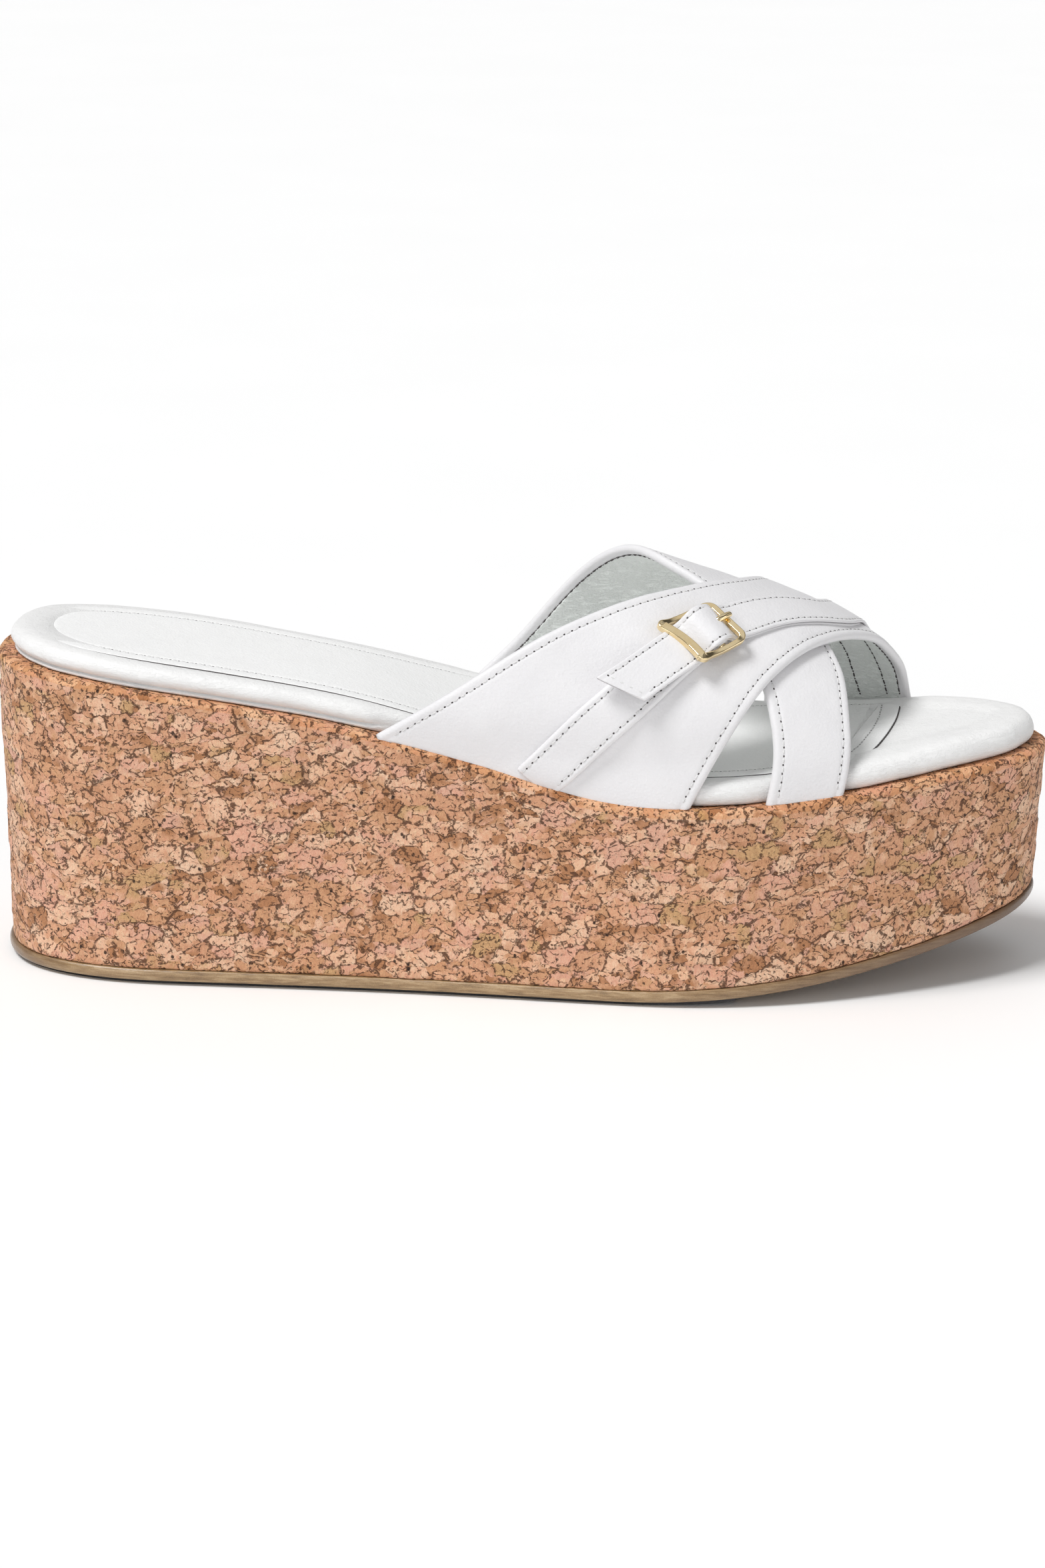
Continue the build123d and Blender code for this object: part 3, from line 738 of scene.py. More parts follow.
for node, mat in (("rubber_tread", RUBBER), ("outsole", SOLE), ("wedge_core", FOAM), ("cork_wrap", CORK),
                  ("filler_sheet", FOAM), ("insole_board", BOARD), ("footbed_foam", FOAM),
                  ("footbed_cover", RIM), ("sock_liner", SOCK), ("cross_band", LEATHER),
                  ("cross_lining", LINING), ("wide_band", LEATHER), ("wide_lining", LINING),
                  ("buckle_strap", LEATHER), ("anchor_strap", LEATHER), ("buckle_frame", GOLD),
                  ("buckle_prong", GOLD)):
    for cad_slot in frame["nodes"][node].material_slots:
        cad_slot.link = "OBJECT"
        cad_slot.material = mat


# ---------------------------------------------------------------- sole and wedge
def stack(name, rows, mat, nodes=(), closed=False):
    """Piece made of closed rows of points, in place of the CAD nodes named."""
    piece = make(name, np.concatenate(rows), tube_faces(len(rows), len(rows[0]), closed))
    weld(piece)
    finish_of(piece, mat)
    if nodes:
        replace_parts(piece, *nodes)
    return piece


def swell(p, size, seed):
    """Smooth uneven value over space, about -1 to 1, with waves of about this size in mm."""
    rng = np.random.default_rng(seed)
    total = np.zeros(p.shape[:-1])
    for _ in range(7):
        way = rng.normal(size=3)
        way *= rng.uniform(0.7, 1.4) * 2 * math.pi / size / np.linalg.norm(way)
        total += np.sin(p @ way + rng.uniform(0, 2 * math.pi))
    return total / 3.2


def flake_relief(p, size):
    """Random step from one cork flake to the next, -1 to 1."""
    out = np.empty(len(p))
    for i, q in enumerate(p):
        cell = noise.voronoi(Vector(q / size))[1][0]
        out[i] = noise.cell(cell * 37.0)
    return out * 2 - 1


def wedge_out(z, x):
    return flare * np.minimum(z / top(x), 1.3) ** 2


WALL_ROWS, CORNER, ROLL, EDGE_BAND = 84, 0.7, 1.6, 1.9


def cork_skin():
    """Wall of the wedge, from under its bottom corner, over its rolled top edge and back inside."""
    x = plan[:, 0]
    low, high = SOLE_TOP + rocker(x), top(x)
    rows = []

    def add(out, z):
        rows.append(np.column_stack([plan + plan_n * np.broadcast_to(out, (AROUND,))[:, None], z + 0 * x]))

    add(-5.0, low + 0.02)
    for a in np.radians([-90, -60, -30, 0]):
        add(wedge_out(low, x) - CORNER + CORNER * math.cos(a), low + CORNER + CORNER * math.sin(a))
    for t in np.linspace(0, 1, WALL_ROWS)[1:]:
        z = low + CORNER + (high - ROLL - low - CORNER) * t
        add(wedge_out(z, x), z)
    for a in np.radians([15, 30, 45, 60, 75, 90]):
        add(wedge_out(high, x) - ROLL + ROLL * math.cos(a), high - ROLL + ROLL * math.sin(a))
    add(-7.0, high)
    add(-7.0, high - 1.2)
    add(wedge_out(high, x) - 1.6, high - 2.4)
    add(-1.4, low + 2.0)
    add(-5.0, low + 1.2)
    # The wall is uneven, except for the last two rows of its top roll.
    for k in range(1, WALL_ROWS + 8):
        p = rows[k]
        move = 0.10 * swell(p, 9, 1) + 0.16 * swell(p, 30, 2) + 0.09 * flake_relief(p, 4.5)
        rows[k][:, :2] += plan_n * move[:, None]
    skin = stack("cork_wedge_skin", rows, CORK, ["cork_wrap"], closed=True)
    skin.data.materials.append(CORK_EDGE)
    for face in skin.data.polygons:
        if face.center.z > top(face.center.x / MM) * MM - EDGE_BAND * MM:
            face.material_index = 1
    return skin


def ground(level):
    return lambda x, y: rocker(x) + level


def sole_rim():
    middle, half = (SOLE_LOW + SOLE_TOP) / 2, (SOLE_TOP - SOLE_LOW) / 2
    rows = shoe.fill(-6.0, ground(SOLE_LOW), 5)[::-1]
    rows.append(shoe.ring(-6.0, ground(SOLE_LOW)))
    for a in np.radians(np.linspace(-90, 90, 15)):
        bulge = 0.5 * abs(math.cos(a)) ** 0.55
        rows.append(shoe.ring(bulge - 0.3 * abs(math.sin(a)) ** 3, ground(middle + half * math.sin(a))))
    rows.append(shoe.ring(-6.0, ground(SOLE_TOP)))
    rows += shoe.fill(-6.0, ground(SOLE_TOP), 5)
    return stack("outsole_rounded", rows, SOLE, ["outsole"])


# ---------------------------------------------------------------- footbed
FOOTBED_TOP = 5.8


def free_part(x, side):
    """1 where the footbed's rim is free of the bands and 0 where a band presses it in."""
    if side < 0:
        spans = ((-34, 41), (56, 78))
    else:
        spans = ((-16, 42), (58, 99))
    press = 0
    for a, b in spans:
        press = np.maximum(press, 1 / (1 + np.exp(-(x - a) / 1.3)) * 1 / (1 + np.exp((x - b) / 1.3)))
    return 1 - press


FREE = np.where(plan_n[:, 1] < 0, free_part(plan[:, 0], -1), free_part(plan[:, 0], 1))
HEEL = 1 / (1 + np.exp((plan[:, 0] + 20) / 8))


def pad_crown(x):
    """Extra thickness of the pad under the toes."""
    return 0.45 / (1 + np.exp(-(x - 98) / 4))


def bed(lift_by):
    return lambda x, y: top(x) + lift_by


def footbed_pad():
    rows = shoe.fill(-10.0, bed(0.05), 3)[::-1]
    rows.append(shoe.ring(-10.0, bed(0.05)))
    x = plan[:, 0]
    # (distance in, height) from the bottom edge, over two lobes, to the top
    pressed = [(3.6, 0.05), (3.2, 0.6), (3.1, 1.4), (3.1, 2.0), (3.1, 2.4), (3.1, 2.8), (3.12, 3.4),
               (3.2, 4.0), (3.4, 4.6), (3.8, 5.1), (4.4, 5.5), (5.2, 5.72), (6.0, 5.8), (6.5, 5.78),
               (7.0, 5.7), (11.0, 5.7)]
    lobed = [(3.2, 0.0), (2.4, 0.2), (2.1, 0.5), (2.2, 0.85), (3.0, 1.15), (2.2, 1.5), (1.6, 2.1),
             (1.25, 2.9), (1.3, 3.8), (1.65, 4.6), (2.3, 5.25), (3.3, 5.7), (5.2, 5.9), (6.4, 5.82),
             (7.0, 5.7), (11.0, 5.7)]
    full = [(3.3, 0.02), (2.3, 0.35), (1.75, 0.95), (1.45, 1.6), (1.32, 2.2), (1.3, 2.8), (1.4, 3.5),
            (1.65, 4.2), (2.1, 4.9), (2.8, 5.45), (3.8, 5.8), (5.0, 5.95), (6.2, 5.95), (7.0, 5.9),
            (8.4, 5.85), (11.0, 5.75)]
    for (pi, ph), (li, lh), (fi, fh) in zip(pressed, lobed, full):
        inset = pi * (1 - FREE) + FREE * (li * HEEL + fi * (1 - HEEL))
        height = ph * (1 - FREE) + FREE * (lh * HEEL + fh * (1 - HEEL))
        height = height + pad_crown(x) * max(fh - 3, 0) / 2.8
        row = shoe.ring(-inset, top(x) + height)
        puff = 0.12 * swell(row, 14, 5) + 0.06 * swell(row, 5, 6)
        row[:, :2] += plan_n * (puff * FREE)[:, None]
        rows.append(row)
    rows += shoe.fill(-12.0, lambda a, b: top(a) + FOOTBED_TOP - 0.1 + pad_crown(a), 8)
    return stack("padded_footbed", rows, RIM, ["footbed_cover", "footbed_foam"])


SOCK_IN, SOCK_SEAM_IN, SOCK_SEAM_UP = 6.6, 4.4, 0.24


def sock_curve():
    """Outline of the sock liner: the footbed's edge, cut by the slanted front edge."""
    q = plan - plan_n * SOCK_IN
    front = [(64.5, -34.5), (72, -31.6), (79.3, -26.5), (84.3, -16), (87.8, -4), (90.6, 8), (92.2, 20),
             (92.6, 27.5), (91.3, 36)]
    line = np.array(front, float)
    t = np.linspace(0, len(front) - 1, 120)
    line = np.stack([np.interp(t, np.arange(len(front)), line[:, k]) for k in (0, 1)], 1)
    y_edge, x_edge = line[:, 1], line[:, 0]
    keep = q[:, 0] < np.interp(q[:, 1], y_edge, x_edge)
    half = AROUND // 2
    near = q[:half][keep[:half]]
    far = q[half:][keep[half:]]
    inside = (y_edge > near[-1, 1]) & (y_edge < far[0, 1])
    cut = line[inside]
    run = np.vstack([near, cut, far])
    for _ in range(30):
        run = (np.roll(run, 1, 0) + run * 2 + np.roll(run, -1, 0)) / 4
    return run, len(near) + int(len(cut) * 0.55)


def sock_pad():
    """The sock liner and its edge, which is painted dark as the shade between sock and footbed rim; returns
    the line of its seam.
    """
    run, split = sock_curve()
    patch = Patch(run, split, 900)
    rows = patch.fill(-5.0, bed(FOOTBED_TOP - 0.3), 4)[::-1]
    for inset, height in ((5.0, -0.3), (0.3, -0.3), (0.0, -0.2), (0.0, 0.1), (0.08, 0.24), (0.25, 0.32),
                          (0.6, 0.36), (2.0, 0.4), (3.3, 0.4), (3.9, 0.36), (4.2, 0.28), (4.4, 0.24),
                          (4.6, 0.28), (4.9, 0.37), (5.5, 0.42), (7.0, 0.44)):
        rows.append(patch.ring(-inset, bed(FOOTBED_TOP + height)))
    rows += patch.fill(-7.0, bed(FOOTBED_TOP + 0.44), 14)
    stack("sock_liner_leather", rows, SOCK, ["sock_liner"])
    # Ring over the sock's edge in the near-black material: painted shade where the sock meets the rim.
    rim = [patch.ring(-inset, bed(FOOTBED_TOP + height))
           for inset, height in ((0.2, -0.3), (-0.22, -0.3), (-0.26, 0.12), (-0.1, 0.24), (0.06, 0.24))]
    stack("sock_edge_shade", rim, HOLE_SHADE, closed=True)
    seam = patch.ring(-SOCK_SEAM_IN, bed(FOOTBED_TOP + SOCK_SEAM_UP))
    seam = np.vstack([seam, seam[:1]])
    return seam, np.broadcast_to(np.array([0.0, 0.0, 1.0]), seam.shape)


# ---------------------------------------------------------------- straps
STRAP_LINE = [(-4, -0.006), (6, 0.016), (24, 0.068), (33, 0.102), (54.3, 0.1696), (61, 0.196), (72, 0.232),
              (84, 0.268), (96, 0.294), (112, 0.307), (130, 0.315), (150, 0.332), (165, 0.345), (188, 0.352)]
strap_x = edge_line(STRAP_LINE)
BASE_UP = 2.3
BUCKLE_ANGLE = 54.3


class StrapLine:
    """Centre line of the buckle strap over the wide band, measured from the buckle's centre bar."""

    def __init__(self):
        self.angle = np.linspace(-6, 186, 800)
        p = self.point(self.angle)
        gap = np.linalg.norm(np.diff(p, axis=0), axis=1)
        self.run = np.concatenate([[0], np.cumsum(gap)])
        self.run -= np.interp(BUCKLE_ANGLE, self.angle, self.run)

    def point(self, a):
        return on_foot(strap_x(a), a, BASE_UP + lift(a))

    def angle_at(self, distance):
        return np.interp(distance, self.run, self.angle)

    def frame(self, distance):
        a = self.angle_at(distance)
        place = self.point(a)
        ahead = self.point(a + 0.6) - self.point(a - 0.6)
        outward = skin_normal(strap_x(a), a)
        ahead -= outward * (ahead * outward).sum(-1, keepdims=True)
        ahead /= np.linalg.norm(ahead, axis=-1, keepdims=True)
        return place, ahead, outward

    def grid(self, distance, across, height):
        """Skin points under a strap; distance and height are rows x columns, across is per column."""
        place, ahead, outward = self.frame(distance)
        side = np.cross(outward, ahead)
        p = place + side * np.broadcast_to(across, distance.shape)[..., None]
        angle = np.degrees(np.arctan2(p[..., 2] - AXIS_H, -p[..., 1]))
        angle = np.where(angle < -90, angle + 360, angle)
        base = on_foot(p[..., 0], angle, BASE_UP + lift(angle))
        n = skin_normal(p[..., 0], angle)
        return base + n * height[..., None], n


strap = StrapLine()
place0, forward0, outward0 = (v[0] for v in strap.frame(np.array([0.0])))
sideways0 = np.cross(outward0, forward0)


def in_buckle(p):
    """Points given along the strap, across it and outward, from the buckle's centre bar's foot."""
    p = np.asarray(p, float)
    return place0 + p[..., :1] * forward0 + p[..., 1:2] * sideways0 + p[..., 2:3] * outward0


CENTRE_UP, HALF = 2.4, 6.25
KNEE = HALF - 1.25


def strap_columns(width, edge_round):
    inner = width / 2 - edge_round
    edge = [0.0, 0.3, 0.6, 0.85, 1.1, 1.4, 1.8, 2.4]
    left = [-inner + e for e in edge]
    return np.array(left + list(np.linspace(left[-1], -left[-1], 9)[1:-1]) + [-v for v in left[::-1]])


STRAP_STITCH, STRAP_THICK = 1.55, 1.6


def strap_dips(across, width):
    return groove(width / 2 - np.abs(across), STRAP_STITCH, 0.13, 0.4)


TAIL, TAIL_SLANT = 25.3, 0.5


def tail_turn(distance):
    """How far the loose end swings sideways from the strap's line."""
    return 2.4 * np.clip((-distance - 7) / 19, 0, 2) ** 1.3


def buckle_strap_pieces():
    """The strap that runs through the buckle, in two layers; returns its seams."""
    width = 11.4
    low_rear, low_front = 1.9, 0.9
    over = CENTRE_UP + 1.85
    heights = [(-26.0, low_rear + 2.6), (-18.0, low_rear + 0.9), (-HALF - 4, low_rear),
               (-HALF - 1, low_rear), (-KNEE, low_rear + 0.15), (-KNEE / 2, over - 0.4), (0.0, over), (KNEE / 2, over - 1.2),
               (KNEE, low_front + 0.15), (HALF, low_front), (HALF + 3.5, 0.12), (HALF + 9, 0.08)]
    columns = strap_columns(width, 0.75)
    end = strap.run[-1]
    along_at = np.concatenate([np.linspace(0, 34, 150), np.linspace(34, end + 23.5, 190)[1:]])
    slant = -TAIL_SLANT * columns
    s = along_at[:, None]
    fade = np.clip(1 - s / 12, 0, 1)
    distance = -TAIL + s + slant[None, :] * fade
    distance = np.minimum(distance, end)
    height = smooth(heights, np.minimum(distance, HALF + 9))
    p, n = strap.grid(distance, columns[None, :] + tail_turn(distance), height)
    sink = np.clip((p[..., 2] - top(p[..., 0]) - 1.0) / 6, 0, 1)
    p = p - n * (1.2 * (1 - sink) ** 2 * (distance > 10))[..., None]
    middle = p[:, p.shape[1] // 2]
    gap = middle[:, 2] - top(middle[:, 0]) + 0.8
    turn = np.argmax(middle[:, 2])
    last = len(gap)
    below = np.where((gap < 0) & (np.arange(len(gap)) > turn))[0]
    if len(below):
        last = below[0] + 1
    p, n, distance = p[:last], n[:last], distance[:last]
    bulge = 0.5 * np.exp(-((distance - 3.2) / 1.8) ** 2) * np.clip(1 - (columns / 6.2) ** 4, 0, 1)
    dips = strap_dips(columns, width) + bulge
    for label, low, high in (("under", 0.0, 0.62), ("upper", 0.86, STRAP_THICK)):
        piece = slab("buckle_strap_" + label, p, n, low, high, dips)
        finish_of(piece, LEATHER)
    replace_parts(piece, "buckle_strap")
    lines = []
    stitch_up = STRAP_THICK - 0.12
    for side in (-1, 1):
        u = np.full(last, side * (width / 2 - STRAP_STITCH))
        d = np.array([np.interp(u[0], columns, row) for row in distance])
        h = smooth(heights, np.minimum(d, HALF + 9)) + stitch_up
        q, m = strap.grid(d[:, None], (u + tail_turn(d))[:, None], h[:, None])
        q, m = q[:, 0], m[:, 0]
        use = (d > d[0] + 1.9) & (q[:, 2] > top(q[:, 0]) + 7.0)
        lines.append((q[use], m[use]))
    u = np.linspace(-width / 2 + STRAP_STITCH, width / 2 - STRAP_STITCH, 30)
    end_in = 1.6
    d = -TAIL - TAIL_SLANT * u * (1 - end_in / 12) + end_in
    h = smooth(heights, d) + stitch_up
    q, m = strap.grid(d[:, None], (u + tail_turn(d))[:, None], h[:, None])
    lines.append((q[:, 0], m[:, 0]))
    return lines


def anchor_strap_piece():
    """The lower strap, from the wedge to its loops around the centre bar; returns its seams."""
    width, end = 11.0, -3.6
    columns = strap_columns(width, STRAP_THICK / 2)
    s = np.linspace(strap.run[0], end, 150)
    d = np.broadcast_to(s[:, None], (len(s), len(columns)))
    height = np.full(d.shape, 0.1) + np.exp((d - end) / 1.2) * 0.5
    p, n = strap.grid(d, columns[None, :], height)
    sink = np.clip((p[..., 2] - top(p[..., 0])) / 7, 0, 1)
    p = p - n * (1.5 * (1 - sink) ** 2)[..., None]
    middle = p[:, p.shape[1] // 2]
    first = np.argmax(middle[:, 2] > top(middle[:, 0]) - 0.6)
    p, n = p[first:], n[first:]
    dips = strap_dips(columns, width) + 0 * n[..., 0]
    piece = slab("lower_strap", p, n, 0.0, STRAP_THICK, dips)
    finish_of(piece, LEATHER)
    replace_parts(piece, "anchor_strap")
    lines = []
    for side in (-1, 1):
        u = side * (width / 2 - STRAP_STITCH)
        q, m = strap.grid(s[first:, None], np.full((len(s) - first, 1), u),
                          np.full((len(s) - first, 1), 0.1 + STRAP_THICK - 0.11))
        q, m = q[:, 0], m[:, 0]
        low = np.clip((q[:, 2] - top(q[:, 0])) / 7, 0, 1)
        q = q - m * (1.5 * (1 - low) ** 2)[:, None]
        use = q[:, 2] > top(q[:, 0]) + 1.0
        lines.append((q[use], m[use]))
    for label, side in (("near", -1), ("far", 1)):
        strap_loop("strap_loop_" + label, np.linspace(1.15, width / 2, 7) * side)
    return lines


def strap_loop(name, across):
    """Leather wrapped around the centre bar beside the prong, over its places across the strap."""
    outside, inside = 1.85, 1.1
    turn = np.radians(np.linspace(215, -60, 24))
    section = [(outside, a) for a in turn] + [(inside, a) for a in turn[::-1]]
    rows = [[(r * math.cos(a), u, CENTRE_UP + r * math.sin(a)) for r, a in section] for u in across]
    points = in_buckle(np.array(rows)).reshape(-1, 3)
    wrap = make(name, points, capped(len(rows), len(section)))
    weld(wrap)
    finish_of(wrap, LEATHER)


# ---------------------------------------------------------------- buckle
def swept(name, path, section, body, closed=False):
    """Gold bar along a path; section(i) gives (sideways, up) points, up being the outward direction."""
    path = np.asarray(path, float)
    count = len(path)
    rows = []
    for i in range(count):
        before = path[i - 1] if (closed or i > 0) else path[i]
        after = path[(i + 1) % count] if (closed or i < count - 1) else path[i]
        t = after - before
        t /= np.linalg.norm(t)
        side = np.cross(t, (0, 0, 1.0))
        side /= np.linalg.norm(side)
        up = np.cross(side, t)
        rows.append([path[i] + side * a + up * b for a, b in section(i)])
    rows = in_buckle(np.array(rows))
    around = rows.shape[1]
    faces = tube_faces(count, around, True) if closed else capped(count, around)
    piece = make(name, rows.reshape(-1, 3), faces, body)
    weld(piece)
    finish_of(piece, GOLD)
    return piece


def rounded_box(w_in, w_out, thick, radius, low=0.0):
    """Section from -w_in (inside the frame) to w_out, flat on top with rounded corners."""
    pts = []
    half = thick / 2
    for cx, cz, start in ((w_out - radius, half - radius, 90), (w_out - radius, -half + radius, 0),
                          (-w_in + radius, -half + radius, -90), (-w_in + radius, half - radius, -180)):
        for k in range(6):
            a = math.radians(start - 18 * k)
            pts.append((cx + radius * math.cos(a), low + cz + radius * math.sin(a)))
    held = []
    for i, p in enumerate(pts):
        q = pts[(i + 1) % len(pts)]
        held.append(p)
        if math.dist(p, q) > radius:
            held += [(p[0] + (q[0] - p[0]) * t, p[1] + (q[1] - p[1]) * t) for t in (0.12, 0.88)]
    return held


# Corners of the frame's middle line: rear and front, near and far.
CORNERS = {(-1, -1): (-7.4, -6.5, 4.2), (-1, 1): (-9.3, 6.6, 2.7),
           (1, 1): (5.5, 5.7, 2.4), (1, -1): (5.8, -6.9, 3.9)}
SAG, BOW = 0.9, 1.0
CORNER_TURN, STEP_ALONG, BAR_PLACE, BAR_R = 0.30, 0.06, 0.13, 0.95


def frame_point(a, b):
    """Point on the frame for a from -1 (rear) to 1 (front) and b from -1 (near side) to 1."""
    p = np.zeros(3)
    for (ca, cb), corner in CORNERS.items():
        p += np.array(corner) * (1 + a * ca) / 2 * (1 + b * cb) / 2
    p[2] -= SAG * (1 - a * a) * abs(b) ** 2
    p[0] += BOW * (1 - b * b) * max(-a, 0) ** 3
    return p


def frame_outline():
    """Closed loop of (a, b) around the frame, tighter at the rear corners than at the front."""
    corners = []
    for ca, cb, start in ((1, 1, 0), (-1, 1, 90), (-1, -1, 180), (1, -1, 270)):
        r = CORNER_TURN if ca > 0 else CORNER_TURN * 0.45
        for a in np.radians(start + 7.5 * np.arange(13)):
            corners.append((ca * (1 - r) + r * math.cos(a), cb * (1 - r) + r * math.sin(a)))
    loop = []
    for i, (a, b) in enumerate(corners):
        c, d = corners[(i + 1) % len(corners)]
        steps = max(int(math.hypot(c - a, d - b) / STEP_ALONG), 1)
        loop += [(a + (c - a) * k / steps, b + (d - b) * k / steps) for k in range(steps)]
    return loop


def frame_ring():
    outline = frame_outline()

    def section(i):
        rear = np.clip((-outline[i][0] - 0.6) / 0.4, 0, 1)
        front = np.clip((outline[i][0] - 0.6) / 0.4, 0, 1)
        w = 0.72 + 0.40 * rear + 0.15 * front
        return rounded_box(w, w, 1.35 + 0.35 * rear, 0.28)

    path = [frame_point(a, b) for a, b in outline]
    ring = swept("buckle_frame_ring", path, section, "frame", closed=True)
    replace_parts(ring, "buckle_frame")


def centre_bar():
    """Bar across the frame, straight but for its ends, which rise into the frame."""
    near, far = frame_point(BAR_PLACE, -1), frame_point(BAR_PLACE, 1)
    bar = [(near * (1 - t) + far * t) * (1, 1, 0) + (0, 0, CENTRE_UP + 0.4 * abs(2 * t - 1) ** 3)
           for t in np.linspace(0, 1, 11)]
    circle = [(BAR_R * math.cos(a), BAR_R * math.sin(a)) for a in turns(24)]
    swept("buckle_centre_bar", bar, lambda i: circle, "frame")


def prong_bar():
    """Tongue of the buckle, arched from the centre bar to past the front of the frame."""
    start, tip = np.array([1.2, 0, CENTRE_UP + 1.5]), np.array([HALF + 0.45, -0.2, 4.75])
    arch, steps = 0.75, 25
    path = [start + (tip - start) * t + np.array([0, 0, arch * math.sin(math.pi * t)])
            for t in np.linspace(0, 1, steps + 1)]

    def taper(i):
        t = i / steps
        r = 0.82 - 0.12 * t
        if t > 0.9:
            r *= math.sqrt(max(1 - ((t - 0.9) / 0.1) ** 2, 0.02))
        return [(r * math.cos(a), r * 0.85 * math.sin(a)) for a in turns(20)]

    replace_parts(swept("buckle_prong_bar", path, taper, "prong"), "buckle_prong")


def prong_eye():
    """Ring of the prong around the centre bar."""
    middle, thick, wide, around, sides = 1.45, 0.42, 0.8, 40, 12
    ring = []
    for a in turns(around):
        for b in turns(sides):
            r = middle + thick * math.cos(b)
            ring.append((r * math.cos(a), wide * math.sin(b), CENTRE_UP + r * math.sin(a)))
    eye = make("buckle_prong_eye", in_buckle(ring), tube_faces(around, sides, True), "prong")
    finish_of(eye, GOLD)


# ---------------------------------------------------------------- build
# Seams on the inner side of the lining, as (x, angle).
LINING_ROWS = [[(74.0, 130), (76.3, 139), (79.3, 148), (81.2, 157), (83.3, 167)],
               [(82.5, 130), (86.1, 145), (88.9, 159), (90.0, 167)]]
OUTSIDE_CLEAR, INSIDE_CLEAR = 1.2, 6.5


def clear_part(p, n, clear):
    """The part of a seam that is this high above the wedge's top."""
    use = p[:, 2] > top(p[:, 0]) + clear
    return p[use], n[use]


def edge_seams(band, height, clear):
    """The seams along the two edges of a band."""
    a = np.linspace(FIRST_ANGLE + 1, LAST_ANGLE - 1, 1200)
    seams = []
    for side in (0, 1):
        p, n = band.surface(band.x_at(a, side, STITCH_IN), a, 0 * a)
        seams.append(clear_part(p + n * (band_ripple(p) + height)[:, None], n, clear))
    return seams


def lining_seams(band):
    """The seams that cross the wide band's lining."""
    seams = []
    for row in LINING_ROWS:
        a = np.linspace(row[0][1], row[-1][1] + 6, 120)
        x = smooth([(angle, place) for place, angle in row], a)
        p, n = band.surface(x, a, 0 * a + LINING_LOW)
        seams.append(clear_part(p, n, INSIDE_CLEAR))
    return seams


def sew(name, seams, *mats):
    for piece, mat in zip(thread_piece(name, seams), mats):
        finish_of(piece, mat)


cork_skin()
sole_rim()
pad = footbed_pad()
sock_seam = sock_pad()
for name, rear, front, raised in (("cross_band", CROSS_REAR, CROSS_FRONT, none),
                                  ("wide_band", WIDE_REAR, WIDE_FRONT, lift)):
    band = Band(rear, front, raised)
    outer, lining = band_pieces(name, band)
    finish_of(outer, LEATHER)
    finish_of(lining, LINING)
    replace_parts(outer, name)
    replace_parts(lining, name.replace("band", "lining"))
    sew(name, edge_seams(band, BAND_TOP - GROOVE_DEPTH, OUTSIDE_CLEAR), THREAD, HOLE_SHADE)
    inside = edge_seams(band, 0.05, INSIDE_CLEAR)
    if name == "wide_band":
        inside += lining_seams(band)
    # Inside the bands, thread and holes alike get the near-black material: painted shade along the lining's
    # stitch lines.
    sew(name + "_inside", [(p, -n) for p, n in inside], HOLE_SHADE, HOLE_SHADE)
strap_seams = buckle_strap_pieces()
lower_seams = anchor_strap_piece()
sew("buckle_strap", strap_seams, THREAD, HOLE_SHADE)
sew("lower_strap", lower_seams, THREAD, HOLE_SHADE)
sew("sock", [sock_seam], THREAD, HOLE_SHADE)
frame_ring()
centre_bar()
prong_bar()
prong_eye()


# ---------------------------------------------------------------- floor, light and camera
def floor():
    mesh = bpy.data.meshes.new("floor")
    far = 30.0
    mesh.from_pydata([(-far, -far, 0), (far, -far, 0), (far, far, 0), (-far, far, 0)], [], [(0, 1, 2, 3)])
    ground = bpy.data.objects.new("floor", mesh)
    bpy.context.scene.collection.objects.link(ground)
    m = Paint("white_floor")
    m.colour(m.ramp(m.noise(0.01, 2), [(0.3, 0.955), (0.7, 0.965)]))
    m.set(rough=0.6, specular=0.1)
    mesh.materials.append(m.mat)


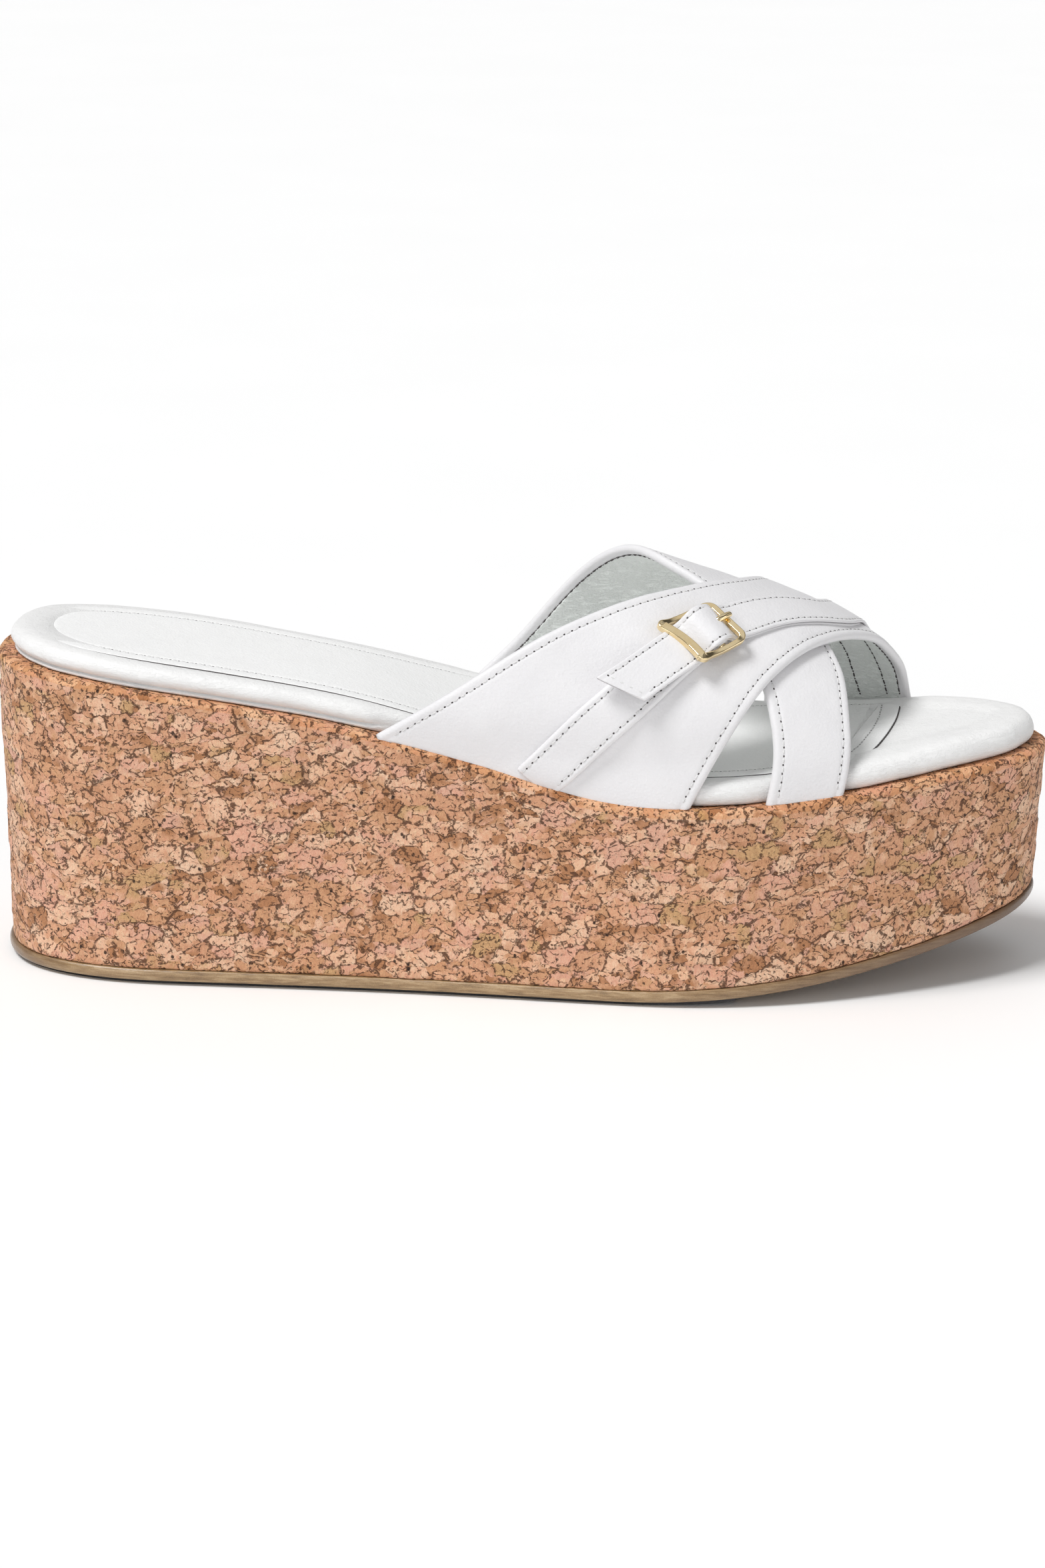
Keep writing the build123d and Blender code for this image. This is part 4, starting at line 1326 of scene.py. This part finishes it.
def world():
    w = bpy.data.worlds.new("studio")
    bpy.context.scene.world = w
    w.use_nodes = True
    t = w.node_tree
    back = t.nodes["Background"]
    back.inputs["Strength"].default_value = 0.52
    coord = t.nodes.new("ShaderNodeTexCoord")
    split = t.nodes.new("ShaderNodeSeparateXYZ")
    t.links.new(coord.outputs["Generated"], split.inputs[0])

    def zones(axis, stops):
        ramp = t.nodes.new("ShaderNodeValToRGB")
        remap = t.nodes.new("ShaderNodeMapRange")
        remap.inputs["From Min"].default_value = -1
        t.links.new(split.outputs[axis], remap.inputs["Value"])
        t.links.new(remap.outputs[0], ramp.inputs["Fac"])
        while len(ramp.color_ramp.elements) < len(stops):
            ramp.color_ramp.elements.new(0.5)
        for element, (at, value) in zip(ramp.color_ramp.elements, stops):
            element.position = at
            element.color = (value, value, value, 1)
        return ramp.outputs["Color"]

    def times(a, b):
        n = t.nodes.new("ShaderNodeMix")
        n.data_type, n.blend_type = "RGBA", "MULTIPLY"
        n.inputs["Factor"].default_value = 1
        t.links.new(a, n.inputs[6])
        t.links.new(b, n.inputs[7])
        return n.outputs[2]

    high = zones(2, [(0.0, 1.0), (0.5, 1.0), (0.56, 0.75), (0.72, 0.8), (0.88, 1.15), (1.0, 1.25)])
    deep = zones(1, [(0.0, 1.0), (0.2, 1.0), (0.24, 0.25), (0.36, 0.25), (0.4, 1.05), (0.62, 1.1),
                     (0.66, 0.5), (0.74, 0.5), (0.78, 1.0), (1.0, 1.0)])
    wide_way = zones(0, [(0.0, 1.0), (0.72, 1.0), (0.75, 0.3), (0.84, 0.3), (0.87, 1.0), (1.0, 0.7)])
    t.links.new(times(times(high, deep), wide_way), back.inputs["Color"])


def sun(name, way, strength, spread):
    data = bpy.data.lights.new(name, "SUN")
    data.energy = strength
    data.angle = math.radians(spread)
    lamp = bpy.data.objects.new(name, data)
    lamp.rotation_euler = Vector(way).to_track_quat("-Z", "Y").to_euler()
    bpy.context.scene.collection.objects.link(lamp)


def camera():
    data = bpy.data.cameras.new("camera")
    data.sensor_fit = "HORIZONTAL"
    data.sensor_width = 36
    data.lens = 147.25
    data.clip_start, data.clip_end = 0.05, 20
    eye = bpy.data.objects.new("camera", data)
    bpy.context.scene.collection.objects.link(eye)
    yaw, pitch, roll = -0.0206159, 0.2756838, 0.0130180
    ahead = Vector((math.sin(yaw) * math.cos(pitch), math.cos(yaw) * math.cos(pitch), -math.sin(pitch)))
    right = Vector((math.cos(yaw), -math.sin(yaw), 0))
    up = right.cross(ahead)
    right2 = right * math.cos(roll) + up * math.sin(roll)
    up2 = up * math.cos(roll) - right * math.sin(roll)
    turn = Matrix((right2, up2, -ahead)).transposed().to_4x4()
    eye.matrix_world = Matrix.Translation(Vector((20.578, -999.594, 325.438)) * MM) @ turn
    bpy.context.scene.camera = eye


floor()
sun("key", (0.45, 0.3, -1.0), 2.2, 22)
sun("front", (0.35, 0.9, -0.3), 0.36, 30)
sun("toe_fill", (-0.8, 0.6, -0.25), 0.42, 40)
world()
camera()
bpy.context.scene.view_settings.view_transform = "Standard"
bpy.context.scene.view_settings.look = "None"
